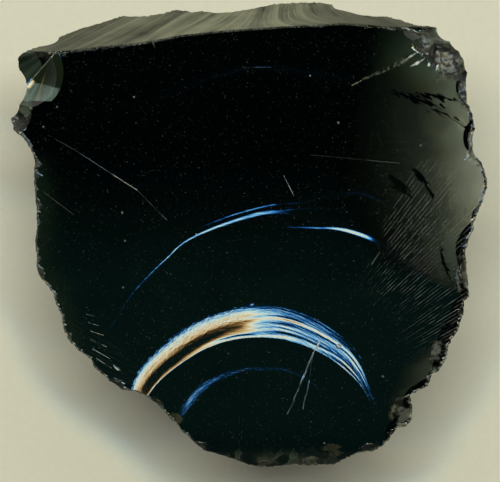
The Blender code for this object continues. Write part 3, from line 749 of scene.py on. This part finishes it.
marks = {
    "dust": [(0.75, 0.070), (1.35, 0.10), (2.3, 0.15)],     # cells to a millimetre, and a speck's size in cells
    "lint": (0.23, 0.035, 0.06),
    "shards": 0.62,
    "hacklePitch": 0.60,                # in degrees
    "rightFan": {"from": (-8, -44), "angle": (23, 30, 54, 62), "radius": (32, 41, 57, 64)},
    "leftFan": {"from": bulb["at"], "angle": (143, 148, 163, 170), "radius": (22, 26, 50, 58)},
    # lines: x, y to x, y, half width, strength
    "scratches": [
        (-38.3, 18.8, -33.0, 15.8, 0.04, 0.2), (-33.0, 15.8, -25.6, 11.0, 0.04, 0.3),
        (-25.6, 11.0, -21.2, 8.2, 0.06, 0.8), (-21.2, 8.2, -15.5, 2.5, 0.04, 0.3),
        (-38.9, 7.8, -33.2, 3.5, 0.04, 0.2), (6.7, 10.9, 8.6, 7.1, 0.05, 0.35),
        (11.7, 14.9, 28.7, 13.3, 0.03, 0.14), (-1.0, 31.5, 4.3, 31.5, 0.07, 0.08),
        (23.4, -5.9, 24.9, -3.6, 0.06, 0.4), (-30.0, -18.6, -27.6, -19.4, 0.04, 0.5),
        (-30.0, -20.2, -27.0, -21.6, 0.04, 0.6), (-29.6, -22.0, -26.4, -23.8, 0.05, 0.6),
        (-28.9, -23.8, -26.0, -25.6, 0.05, 0.6), (-30.4, -17.0, -28.4, -17.6, 0.04, 0.4),
        (-30.8, -15.4, -29.2, -15.8, 0.04, 0.3)],
    "cracks": [
        (12.2, -22.8, 9.3, -30.0, 0.11, 0.7), (9.3, -30.0, 7.4, -34.2, 0.09, 0.5),
        (11.5, -28.1, 10.3, -33.3, 0.09, 0.45), (12.2, -22.8, 11.5, -28.1, 0.05, 0.15),
        (12.2, -22.8, 13.4, -20.6, 0.10, 0.8), (16.9, -21.4, 17.1, -21.5, 0.28, 1.0)],
    # dark flaws in the clear wedge
    "bruises": [
        (31.0, 26.6, 40.2, 25.2, 0.36, 1.0), (27.0, 26.9, 37.4, 23.8, 0.46, 1.0),
        (34.0, 23.9, 39.0, 21.8, 0.22, 1.0), (37.6, 22.6, 43.2, 19.0, 0.20, 1.0),
        (31.2, 12.6, 34.2, 8.6, 0.5, 0.85), (33.2, 9.8, 35.6, 6.2, 0.3, 0.8),
        (26.6, 10.8, 31.2, 6.8, 0.8, 0.55), (36.2, -2.0, 38.6, -9.6, 0.30, 0.9)],
    # pale crushed cracks and facets at the upper right
    "slivers": [
        (19.5, 28.0, 22.0, 29.3, 0.10, 0.5), (22.0, 29.3, 24.6, 30.5, 0.22, 0.6),
        (24.6, 30.5, 28.0, 32.0, 0.38, 0.7), (28.0, 32.0, 30.5, 33.5, 0.50, 0.8),
        (35.4, 28.6, 36.8, 30.4, 0.45, 0.7), (36.0, 31.0, 37.0, 32.0, 0.4, 0.7)],
    # painted highlights: glints on small facets, laid on as colour; x, y to x, y, half width, strength
    "paintedGlints": [
        (30.2, 33.3, 31.9, 34.3, 0.14, 1.0), (31.0, 31.9, 33.4, 33.1, 0.20, 1.0),
        (35.7, 31.0, 36.1, 32.2, 0.16, 0.9), (-25.8, -25.0, -24.4, -26.2, 0.13, 0.8),
        (29.0, 39.2, 31.6, 38.6, 0.18, 0.7), (-45.2, 24.8, -44.8, 25.4, 0.2, 0.5)],
    # patches: x, y, half sizes, and the crushed ones' turn
    "crushedZones": [
        (37.0, 34.4, 6.0, 3.2, -48), (41.6, 28.6, 1.5, 4.2, -8), (-43.4, 24.0, 2.0, 3.6, 0),
        (-41.2, 34.2, 3.4, 0.8, 0)],
    "flakeZones": [
        (40.8, -8.0, 1.5, 4.6), (29.2, -34.0, 2.6, 3.2), (36.2, -24.0, 2.0, 4.0), (3.1, -43.2, 1.9, 0.8),
        (10.9, -43.0, 2.4, 0.9), (16.0, -41.2, 2.2, 1.3), (-14.0, -35.2, 1.6, 1.1),
        (-44.0, 26.6, 1.3, 2.4)],
}
bowls = {                               # the two bowls at the upper left: x, y and half sizes
    "inner": (-40.2, 30.6, 5.1, 6.6),
    "outer": (-43.0, 29.0, 4.4, 6.4),
    "struck": (-36.6, 35.4),            # their rays spread from here
    "foot": (25.05, 25.2),
}


def joined(x, y, z=0.0):
    return x.make("ShaderNodeCombineXYZ", {}, {0: x, 1: y, 2: z})


def most(first, *others):  # the greatest of several
    for other in others:
        first = first.maths("MAXIMUM", other)
    return first


def layered(colour, *layers):  # each mask lays its own colour over those before it
    for mask, tone in layers:
        colour = mask.between(colour, tone)
    return colour


def inMillimetres(start):
    return start.make("ShaderNodeTexCoord").port("Object").scaled(1 / mm)


def attribute(start, name):
    return start.make("ShaderNodeAttribute", {"attribute_name": name}).port("Fac")


def noise(wire, scale, detail=2.0, rough=0.5, bend=0.0):
    inputs = {"Vector": wire, "Scale": scale, "Detail": detail, "Roughness": rough, "Distortion": bend}
    return wire.make("ShaderNodeTexNoise", {}, inputs)


def cells(place, scale):  # the distance to each cell's middle, and two random numbers for each cell
    made = place.make("ShaderNodeTexVoronoi", {"feature": "F1"}, {"Vector": place, "Scale": scale})
    lot = made.make("ShaderNodeSeparateColor", {}, {0: made.port("Color")})
    return made.port("Distance"), lot.port("Red"), lot.port("Green")


def around(x, y, middle):  # the distance from a point, and the direction in degrees
    across, up = x - middle[0], y - middle[1]
    return (across**2 + up**2) ** 0.5, up.maths("ARCTAN2", across) * (180 / math.pi)


def ellipse(x, y, cx, cy, wide, tall, turn=0):  # 0 at the middle and 1 on the outline
    c, s = math.cos(math.radians(turn)), math.sin(math.radians(turn))
    u, v = ((x - cx) * c + (y - cy) * s) / wide, ((y - cy) * c - (x - cx) * s) / tall
    return (u**2 + v**2) ** 0.5


def patches(x, y, areas, wander, fades):  # with outlines that wander
    return most(*(1 - (ellipse(x, y, *area) + wander).within(*fades) for area in areas))


def lineMask(x, y, lines, tapered=False):
    masks = []
    for x0, y0, x1, y1, half, strength in lines:
        dx, dy = x1 - x0, y1 - y0
        size = dx * dx + dy * dy
        t = most(((x - x0) * (dx / size) + (y - y0) * (dy / size)).capped(), 0.0)
        away = ((x - x0 - t * dx) ** 2 + (y - y0 - t * dy) ** 2) ** 0.5
        if tapered:
            away = away / (1.15 - abs(t * 2 - 1))
        masks.append((1 - away.within(half * 0.5, half * 1.7)) * strength)
    return most(*masks)


def surfaceMarks(start, brokenShare):  # the places and masks that both glass finishes share
    place = inMillimetres(start)
    x, y, z = place.split()
    radius, angle = around(x, y, bulb["at"])
    upness = start.make("ShaderNodeNewGeometry").port("Normal").split()[2]
    facing = upness.within(0.75, 0.93)          # the fracture face, and nothing steep
    ragged = noise(place, 1.6, 3.0, 0.7)

    specks = []
    for scale, size in marks["dust"]:
        away, lot, _ = cells(place, scale)
        specks.append((1 - away.within(size * 0.5, size)) * lot**2.2)
    scale, full, end = marks["lint"]
    away, _, lot = cells(place, scale)
    lint = (1 - away.within(full, end)) * lot

    drift = noise(joined(angle * 0.35, radius * 0.05), 1.0)
    unbroken = noise(joined(angle * 1.7, radius * 0.10, 4.0), 1.0, 3.0, 0.7).within(0.44, 0.62)

    def fan(shape):  # fine lines that spread from a point
        wave = around(x, y, shape["from"])[1] * (2 * math.pi / marks["hacklePitch"]) + drift * 4
        inFan = angle.window(*shape["angle"]) * radius.window(*shape["radius"])
        return wave.maths("SINE").within(0.84, 1.0) * unbroken * inFan

    thinned = noise(place, 0.16).within(0.20, 0.55) * (0.45 + noise(place, 0.7).within(0.35, 0.6) * 0.55)
    hackles = (fan(marks["rightFan"]) * thinned + fan(marks["leftFan"]) * 0.2) * facing
    scored = lineMask(x, y, marks["scratches"]) * noise(place, 0.5).within(0.22, 0.55) * facing
    bend = noise(place, 0.35) * 0.7 - 0.35
    cracked = lineMask(x + bend, y, marks["cracks"]) * noise(place, 0.5).within(0.26, 0.6) * facing
    bend = noise(place, 0.45) * 1.2 - 0.6
    slivered = lineMask(x + bend, y + bend * 0.5, marks["slivers"]) * ragged.within(0.40, 0.60)
    # painted highlights: the glints, with ragged outlines
    bright = lineMask(x + ragged * 1.6 - 0.8, y + ragged * 2.0 - 1.0, marks["paintedGlints"], True)
    fibres = joined((x * 0.8 - y * 0.6) * 0.35, (x * 0.6 + y * 0.8) * 1.5)
    flaw = noise(fibres, 1.0, 4.0, 0.65) - 0.5
    dark = lineMask(x + flaw * 2.0, y + flaw * 3.4, marks["bruises"], True)

    zones = patches(x, y, marks["crushedZones"], (ragged - 0.5) * 1.2, (0.75, 1.1))
    zones = most(zones, attribute(start, "broken") * brokenShare)
    flakes = patches(x, y, marks["flakeZones"], (ragged - 0.5) * 0.9, (0.8, 1.05))
    bent = place.vector("ADD", noise(place, 0.5).port("Color"))
    shard, lot, _ = cells(bent, marks["shards"])
    # the glass gathers a little green light towards the foot of the face
    glow = (1 - y.within(-16, 16)) * (0.55 + noise(place, 0.10, 3.0, 0.55) * 0.9) * facing
    return SimpleNamespace(
        place=place, x=x, y=y, z=z, radius=radius, angle=angle, facing=facing, ragged=ragged,
        dust=most(*specks), lint=lint, hackles=hackles * (1 - dark), scored=scored, cracked=cracked,
        slivered=slivered, bright=bright * ragged.within(0.36, 0.5), dark=dark, zones=zones,
        flakes=flakes * noise(place, 0.55, 3.0, 0.6).within(0.38, 0.62), shard=shard,
        shardTone=lot**3.0 * (0.35 + shard * 0.9), chipRough=zones.within(0.0, 0.25) * finish["brokenRough"],
        body=glow.capped().between(finish["black"], finish["blackGreen"]))


def newFinish(name):
    material = bpy.data.materials.new(name)
    material.use_nodes = True
    return material, Wire(material.node_tree), material.node_tree.nodes["Principled BSDF"]


def bumped(height):
    return height.make("ShaderNodeBump", {}, {"Height": height, "Distance": mm})


def bowlTones(on):  # where the bowls lie: dark green above, a painted reflection on the facets along the foot, and a painted highlight on the ridge between
    x, y = on.x, on.y
    inside = (x + 44.0) * 0.746 - (y - 25.5) * 0.667 + 0.5      # how far below the ridge between the bowls
    inner = most(1 - ellipse(x, y, *bowls["inner"]).within(0.96, 1.0), 1 - x.within(-41, -39.5))
    inner = inner * inside.within(-0.05, 0.15) * y.within(*bowls["foot"])
    outer = (1 - ellipse(x, y, *bowls["outer"]).within(0.92, 1.0)) * (1 - inner)
    outer = outer * (1 - (1 - y.within(25.0, 25.2)) * x.within(-41.4, -41.0))
    turning = around(x, y, bowls["struck"])[1]
    rays = noise(joined(turning * 0.10, on.z * 0.1), 1.0, 3.0, 0.6)
    # painted reflection along the foot, streaked by the rays
    foot = (y + (x + 40.0) * 0.25 + rays * 0.8).within(29.1, 28.7)
    # a thin painted highlight along the ridge
    ridge = (turning + 112.0 + (y - 29.0) * 0.6).bell(0.0, 1.0) * (1 - y.within(28.2, 31.0)) * 0.6
    green = (foot * (0.35 + rays.within(0.35, 0.60) * 0.65)).between(finish["bowl"], finish["bowlShine"])
    # faint streaks of the same painted reflection on the outer bowl
    outerGreen = (rays.within(0.30, 0.62) * 0.22).between(finish["bowl"], finish["bowlShine"])
    # a broken pale line along the parting, painted as its highlight
    parting = inside.bell(0.0, 0.08) * y.within(24.8, 25.6) * (1 - x.within(-37, -35.5))
    parting = parting * on.ragged.within(0.35, 0.55) * 0.6
    innerGreen = ridge.between(green, finish["bowlRidgeHighlight"])
    return [(outer * 0.9, outerGreen), (inner, innerGreen), (parting, finish["crumb"])], rays * inner


def obsidianBlack():
    material, start, shader = newFinish("obsidianBlack")
    on = surfaceMarks(start, 0.7)
    place, radius, angle = on.place, on.radius, on.angle
    chewed = attribute(start, "edge").within(0.3, 0.7) * noise(place, 3.6, 3.0, 0.7).within(0.50, 0.60)
    crushed = most(chewed, on.slivered)
    haze = attribute(start, "margin") * (1 - on.x.within(-36, -28)) * (1 - on.y.within(9, 17))
    haze = haze * (0.3 + noise(place, 0.5, 3.0, 0.6) * 1.2) * on.facing
    white = (on.dust * 0.26 + on.lint * 0.24 + on.hackles * 0.18 + on.scored * 0.42).capped()
    bowlLayers, bowlRays = bowlTones(on)
    colour = layered(
        on.body, (haze.capped(), finish["margin"]), *bowlLayers, (on.flakes * 0.5, finish["flake"]),
        (on.zones * on.shardTone, finish["shard"]), (white, finish["frost"]),
        # the last layer is the painted highlights of the glints
        (on.cracked, finish["blueFrost"]), (crushed * 0.6, finish["crumb"]), (on.bright, finish["paintedGlint"]))
    # fine streaks along the band and the ripples, leaning a little outwards to the left
    streaks = noise(joined(radius * 2.4 - angle * 0.15, angle * 0.09), 1.0, 3.0, 0.7)
    outward = radius.within(19.8, 20.6) * (1 - radius.within(29.5, 46.0) * 0.55)
    streaks = streaks * most(outward, radius.window(13.0, 14.0, 17.5, 18.5) * 1.3) * on.facing
    # short flames along the outer edge of the band's left half
    flames = noise(joined(radius * 1.4 + angle * 0.16, angle * 0.30), 1.0, 3.0, 0.65)
    flames = flames * radius.window(22.5, 24.5, 27.5, 29.0) * angle.within(92, 106) * on.facing
    height = noise(place, 0.35, 3.0, 0.5) * 0.007 + noise(place, 1.7) * 0.0009 + crushed * 0.05
    height = height + (on.scored + on.cracked) * 0.02 + streaks * 0.008 + flames * 0.016
    height = height + bowlRays * 0.05 + on.zones * on.shard * 0.22
    rough = finish["gloss"] + white * 0.35 + crushed * 0.3 + on.cracked * 0.3 + on.chipRough
    start.plug(shader, {"Base Color": colour, "Roughness": rough.capped(), "Normal": bumped(height),
                        "IOR": finish["ior"]})
    return material


def obsidianWall():  # the platform: fine flutes that fan out from its upper edge, with painted light and shade across them
    material, start, shader = newFinish("obsidianWall")
    place = inMillimetres(start)
    x, _, z = place.split()
    plan = most(stone["level"] - z, 0.0) * platform["run"]
    rightness = x.within(*platform["turnsOver"])
    sweep, soon = platform["sweepRight"]
    phase = x - (1 - rightness) * plan * platform["leanLeft"]
    phase = phase + rightness * sweep * (1 - (plan / -soon).maths("EXPONENT"))
    fan = joined(phase, plan * 0.10)
    broad, narrow, single = noise(fan, 0.22, 1.0), noise(fan, 1.1, 4.0, 0.7), noise(fan, 0.5, 2.0, 0.5, 0.2)
    clouds, grain = noise(place, 0.16, 3.0, 0.6), noise(place, 2.6, 4.0, 0.65)
    crest = 1 - abs(single - 0.5).within(0.0, 0.035)
    # painted light and shade across the flutes, with random clouds and grain
    fluteLightAndShade = (broad - 0.5) * 2.0 + (narrow - 0.5) * 1.8 + 0.50
    fluteLightAndShade = fluteLightAndShade + (clouds - 0.5) + (grain - 0.5) * 0.35 + crest * 0.35
    # painted shade: darker to the right and at the far left
    shadeAlongWall = (1 - x.within(4, 24) * 0.72) * (0.46 + x.within(-32, -8) * 0.54) * 1.12
    colour = (most(fluteLightAndShade, 0.0) * shadeAlongWall).capped().between(finish["wallDark"], finish["wall"])
    flecks = noise(place, 1.3, 2.0, 0.6).within(0.70, 0.76)
    height = narrow * 0.08 + single * 0.10 + grain * 0.012
    start.plug(shader, {"Base Color": layered(colour, (flecks * 0.6, finish["crumb"])),
                        "Roughness": 0.24 + grain * 0.16, "Normal": bumped(height), "Specular IOR Level": 0.03})
    return material


def obsidianThin():  # clear smoky glass, and over it the same black glass and marks
    material, start, clear = newFinish("obsidianThin")
    on = surfaceMarks(start, 0.8)
    place = on.place
    brink = (attribute(start, "edge") + (noise(place, 1.8, 4.0, 0.75) - 0.5) * 0.9).within(0.22, 0.40)
    crumbled = brink * noise(place, 2.6, 2.0, 0.6).within(0.57, 0.63)
    white = on.dust * 0.3 + on.lint * 0.3 + on.hackles * 0.34 + on.scored * 0.5
    # the painted glints also cover the clear glass
    solid = brink + on.dark + on.slivered * 0.7 + on.bright + on.zones * 0.95 + on.flakes * 0.6
    deep = attribute(start, "deep").within(*finish["darkens"])
    flawed = solid.within(0.0, 0.05)
    frosted = (white / (white + deep + 0.001)).capped() * (1 - flawed)
    tone = layered(
        on.body, (flawed, finish["black"]), (frosted, finish["frost"]),
        (on.flakes, finish["flake"]), (on.zones * on.shardTone, finish["shard"]),
        # the last layer is the painted highlights of the glints
        (most(crumbled, on.slivered), finish["crumb"]), (on.bright, finish["paintedGlint"]))
    height = noise(place, 0.35, 3.0, 0.5) * 0.012 + noise(place, 1.7) * 0.0014 + on.zones * on.shard * 0.22
    bump = bumped(height)
    rough = on.chipRough + on.flakes * 0.3
    start.plug(clear, {"Base Color": (1, 1, 1, 1), "Transmission Weight": 1.0, "IOR": finish["ior"],
                       "Roughness": (finish["gloss"] + rough).capped(), "Normal": bump})
    dull = start.make("ShaderNodeBsdfPrincipled", {}, {
        "Base Color": tone, "Roughness": (finish["gloss"] + white * 0.6 + rough).capped(), "Normal": bump,
        "IOR": finish["ior"]})
    cover = most(white + solid, deep, 0.13).capped()
    both = start.make("ShaderNodeMixShader", {}, {0: cover, 1: Wire(start.tree, clear.outputs[0]), 2: dull})
    smoke = start.make("ShaderNodeVolumeAbsorption", {},
                       {"Color": (*finish["smoke"], 1), "Density": finish["smokeDensity"]})
    start.plug(material.node_tree.nodes["Material Output"], {"Surface": both, "Volume": smoke})
    return material


black, thin, fluted = obsidianBlack(), obsidianThin(), obsidianWall()
print("finishes made")

chunk = makeCore()
cutEach(chunk, [makeFaceTool(), makePlatformTool()] + [makeScarTool(n, *s) for n, s in backScars.items()])
print("face, platform and scars cut:", len(chunk.data.polygons), "faces")
cutEach(chunk, makeChips())
print("chips cut:", len(chunk.data.polygons), "faces")
tree = crumbTree()
nibble(chunk, tree, "rim", [(x, y, rimHeight(x, y) + stone["rimDepth"] * 0.6) for x, y in rim], True, black)
nibble(chunk, tree, "arris", [onFace(x, float(arrisAt(x))) for x in np.arange(38, -44, -1.0)], False, black)
nibble(chunk, tree, "corner", [onFace(x, y) for x, y in cornerPath], False, black)
cutEach(chunk, [makeGround()])
print("edges crumbled:", len(chunk.data.polygons), "faces")

dressing = {
    "crease": math.radians(26),
    "row": (0.35, 0.6, 1.0, 0.5),       # along the rim: near, far, the longest edge left whole, the row's width
    "edge": 0.38,                       # how far the crushed line reaches in from the rim
    "margin": 3.0,                      # and the haze
    "broken": (0.96, 0.88),             # faces that lean this much count as broken
    "bowls": (-35, 24.5),               # but not left of and above this
}


def rimSpots():  # points along the rim, to measure how far a vertex is from it
    spots = [onFace(x, float(arrisAt(x))) for x in np.arange(-43, 38, 0.15)]
    for (x0, y0), (x1, y1) in zip(rim, rim[1:] + rim[:1]):
        for t in np.linspace(0, 1, 20, endpoint=False):
            x, y = x0 + (x1 - x0) * t, y0 + (y1 - y0) * t
            spots.append((x, y, rimHeight(x, y) + stone["rimDepth"] * 0.5))
    near = KDTree(len(spots))
    for i, spot in enumerate(spots):
        near.insert(spot, i)
    near.balance()
    return near


def narrowRow(bm, spots):  # a narrow row of faces along the rim, so that its crushed line stays thin
    near, far, longest, width = dressing["row"]
    for edge in list(bm.edges):
        length = edge.calc_length() / mm
        for vert in edge.verts:
            other = edge.other_vert(vert)
            if length > longest and spots.find(vert.co / mm)[2] < near and spots.find(other.co / mm)[2] > far:
                bmesh.utils.edge_split(edge, vert, width / length)
                break


def closeUp(bm):  # takes out the tiny doubled faces and flaps that the cuts leave, and fills the tiny holes
    sets = {}
    for face in bm.faces:
        sets.setdefault(frozenset(face.verts), []).append(face)
    doubled = [face for faces in sets.values() if len(faces) > 1 for face in faces]
    bmesh.ops.delete(bm, geom=doubled, context="FACES")
    flaps = [face for face in bm.faces if sum(edge.is_boundary for edge in face.edges) > 1]
    bmesh.ops.delete(bm, geom=flaps, context="FACES")
    bmesh.ops.holes_fill(bm, edges=[e for e in bm.edges if e.is_boundary], sides=3)
    bmesh.ops.delete(bm, geom=[v for v in bm.verts if not v.link_faces], context="VERTS")


def thickness(seen, at, normal, start):  # how much stone lies under a point, or None
    return seen.ray_cast(at - normal * start, -normal)[3]


def measureVerts(bm, seen):  # how thick the stone is, in millimetres, and where it is broken
    deep, broken = np.full(len(bm.verts), 40.0), np.zeros(len(bm.verts))
    left, top = dressing["bowls"]
    for vert in bm.verts:
        if vert.normal.z > 0.05 and not (vert.co.x < left * mm and vert.co.y > top * mm):
            broken[vert.index] = smooth(*dressing["broken"], vert.normal.z)
        if vert.co.x <= finish["thinFrom"] * mm:
            continue
        under = thickness(seen, vert.co, vert.normal, 1e-4) if vert.normal.z > 0.3 else None
        darker = 1 + 1.1 * smooth(-4, -20, vert.co.y / mm)      # lower down it looks darker than it is thick
        deep[vert.index] = 0.0 if under is None else under / mm * darker
    return deep, broken


def finishOf(face, seen):  # 0 is black, 1 clear, 2 the fluted wall
    middle, normal = face.calc_center_median(), face.normal
    x, y = middle.x / mm, middle.y / mm
    across, up = x - bulb["at"][0], y - bulb["at"][1]
    turn = math.degrees(math.atan2(up, across))
    past = math.hypot(across, up) - float(crestAt(turn))
    onBand = past < 1.2 * float(along(bulb["band"], turn)) and normal.z > 0.8
    under = thickness(seen, middle, normal, 1e-5)
    isThin = under is not None and under < finish["thin"] * mm and x > finish["thinFrom"] and not onBand
    onWall = y - float(arrisAt(x)) > 0.02 and 0.05 < normal.z < 0.6 and normal.y > 0.4
    return 2 if onWall else 1 if isThin else 0


def dress(target):  # smooth with crisp creases, thin faces clear, and the marks' attributes
    mesh = target.data
    mesh.materials.clear()
    for material in (black, thin, fluted):
        mesh.materials.append(material)
    bm = bmesh.new()
    bm.from_mesh(mesh)
    bmesh.ops.dissolve_degenerate(bm, dist=1e-6, edges=bm.edges)
    bmesh.ops.recalc_face_normals(bm, faces=bm.faces)
    for edge in bm.edges:
        edge.smooth = not (edge.is_manifold and edge.calc_face_angle(0) > dressing["crease"])
    spots = rimSpots()
    narrowRow(bm, spots)
    bmesh.ops.triangulate(bm, faces=[f for f in bm.faces if len(f.verts) > 3])
    closeUp(bm)
    bm.normal_update()
    bm.verts.index_update()
    seen = BVHTree.FromBMesh(bm)
    deep, broken = measureVerts(bm, seen)
    for face in bm.faces:
        face.smooth = True
        face.material_index = finishOf(face, seen)
    bm.to_mesh(mesh)
    bm.free()
    near = np.array([spots.find(p)[2] for p in positions(mesh) / mm])
    edge, margin = (np.exp(-((near / dressing[name]) ** 2)) for name in ("edge", "margin"))
    for name, values in {"edge": edge, "margin": margin, "deep": deep, "broken": broken}.items():
        layer = mesh.attributes.new(name, "FLOAT", "POINT")
        layer.data.foreach_set("value", values.astype(np.float32))


dress(chunk)
print("stone dressed:", sum(1 for p in chunk.data.polygons if p.material_index), "faces clear or fluted")

# The floor, the light and the camera.
room = {
    "floor": (0.92, 0.89, 0.755),
    "floorHalf": 1.5,
    "horizon": (0.66, 0.66, 0.60),
    "overhead": (0.008, 0.016, 0.020),
    # one soft ring of light, by how far it lies from straight above: from blue to cream and brown
    "ring": [
        (14.0, (0.0, 0.0, 0.0)), (15.3, (0.0, 0.004, 0.008)), (16.1, (0.002, 0.020, 0.060)),
        (17.1, (0.01, 0.11, 0.52)), (18.3, (0.10, 0.50, 0.92)), (19.6, (0.62, 1.0, 0.97)),
        (21.6, (1.0, 1.0, 0.78)), (23.4, (0.98, 0.80, 0.42)), (25.0, (0.66, 0.38, 0.11)),
        (26.6, (0.20, 0.09, 0.02)), (28.2, (0.0, 0.0, 0.0))],
    "ringTurn": (8, 24, 150, 166),      # it starts and ends between these directions
    "ringPower": 17.0,
    "key": {"colour": (1.0, 0.97, 0.90), "power": 0.45, "polar": (54, 13), "turn": (102, 46)},
}
view = {"at": (0.285, -1.48), "height": 1000.0, "across": 95.0}


def makeFloor():
    bm = bmesh.new()
    bmesh.ops.create_grid(bm, x_segments=4, y_segments=4, size=room["floorHalf"])
    floor = newObject("floor", bm)
    material, start, shader = newFinish("paleBoard")
    mottled = noise(inMillimetres(start), 0.8, 4.0, 0.6).within(0.3, 0.7)
    colour = mottled.between([v * 0.975 for v in room["floor"]], room["floor"])
    start.plug(shader, {"Base Color": colour, "Roughness": 0.85, "Specular IOR Level": 0.2})
    floor.data.materials.append(material)


def makeLight():
    world = bpy.data.worlds.new("studio")
    bpy.context.scene.world = world
    world.use_nodes = True
    world.node_tree.nodes.clear()
    start = Wire(world.node_tree)
    x, y, z = start.make("ShaderNodeTexCoord").port("Generated").vector("NORMALIZE").split()
    polar = z.maths("ARCCOSINE") * (180 / math.pi)
    turn = y.maths("ARCTAN2", x) * (180 / math.pi)
    low, high = room["ring"][0][0], room["ring"][-1][0]
    stops = [((at - low) / (high - low), colour) for at, colour in room["ring"]]
    ring = start.make("ShaderNodeValToRGB", {"stops": stops}, {0: (polar - low) / (high - low)})
    ring = ring.scaled(turn.window(*room["ringTurn"]) * (polar > low) * (polar < high) * room["ringPower"])
    ambient = polar.within(34, 78).between(room["overhead"], room["horizon"])
    ambient = ambient.scaled(0.10 + most(y, 0.0) * 1.95 + x**2 * 0.42)
    key = room["key"]
    lit = (polar.bell(*key["polar"]) * turn.bell(*key["turn"]) * key["power"]).times(key["colour"])
    glow = start.make("ShaderNodeBackground", {}, {"Color": ring.vector("ADD", ambient).vector("ADD", lit)})
    start.make("ShaderNodeOutputWorld", {}, {"Surface": glow})


def makeCamera():
    camera = bpy.data.cameras.new("overhead")
    camera.sensor_width = 36.0
    camera.lens = camera.sensor_width * view["height"] / view["across"]
    camera.clip_end = 10.0
    made = linked("overhead", camera)
    made.location = (view["at"][0] * mm, view["at"][1] * mm, (stone["level"] + view["height"]) * mm)
    bpy.context.scene.camera = made


makeFloor()
makeLight()
makeCamera()
bpy.context.scene.view_settings.view_transform = "Standard"
print("floor, light and camera set")

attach(chunk, "root")
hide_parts("obsidian_chunk")
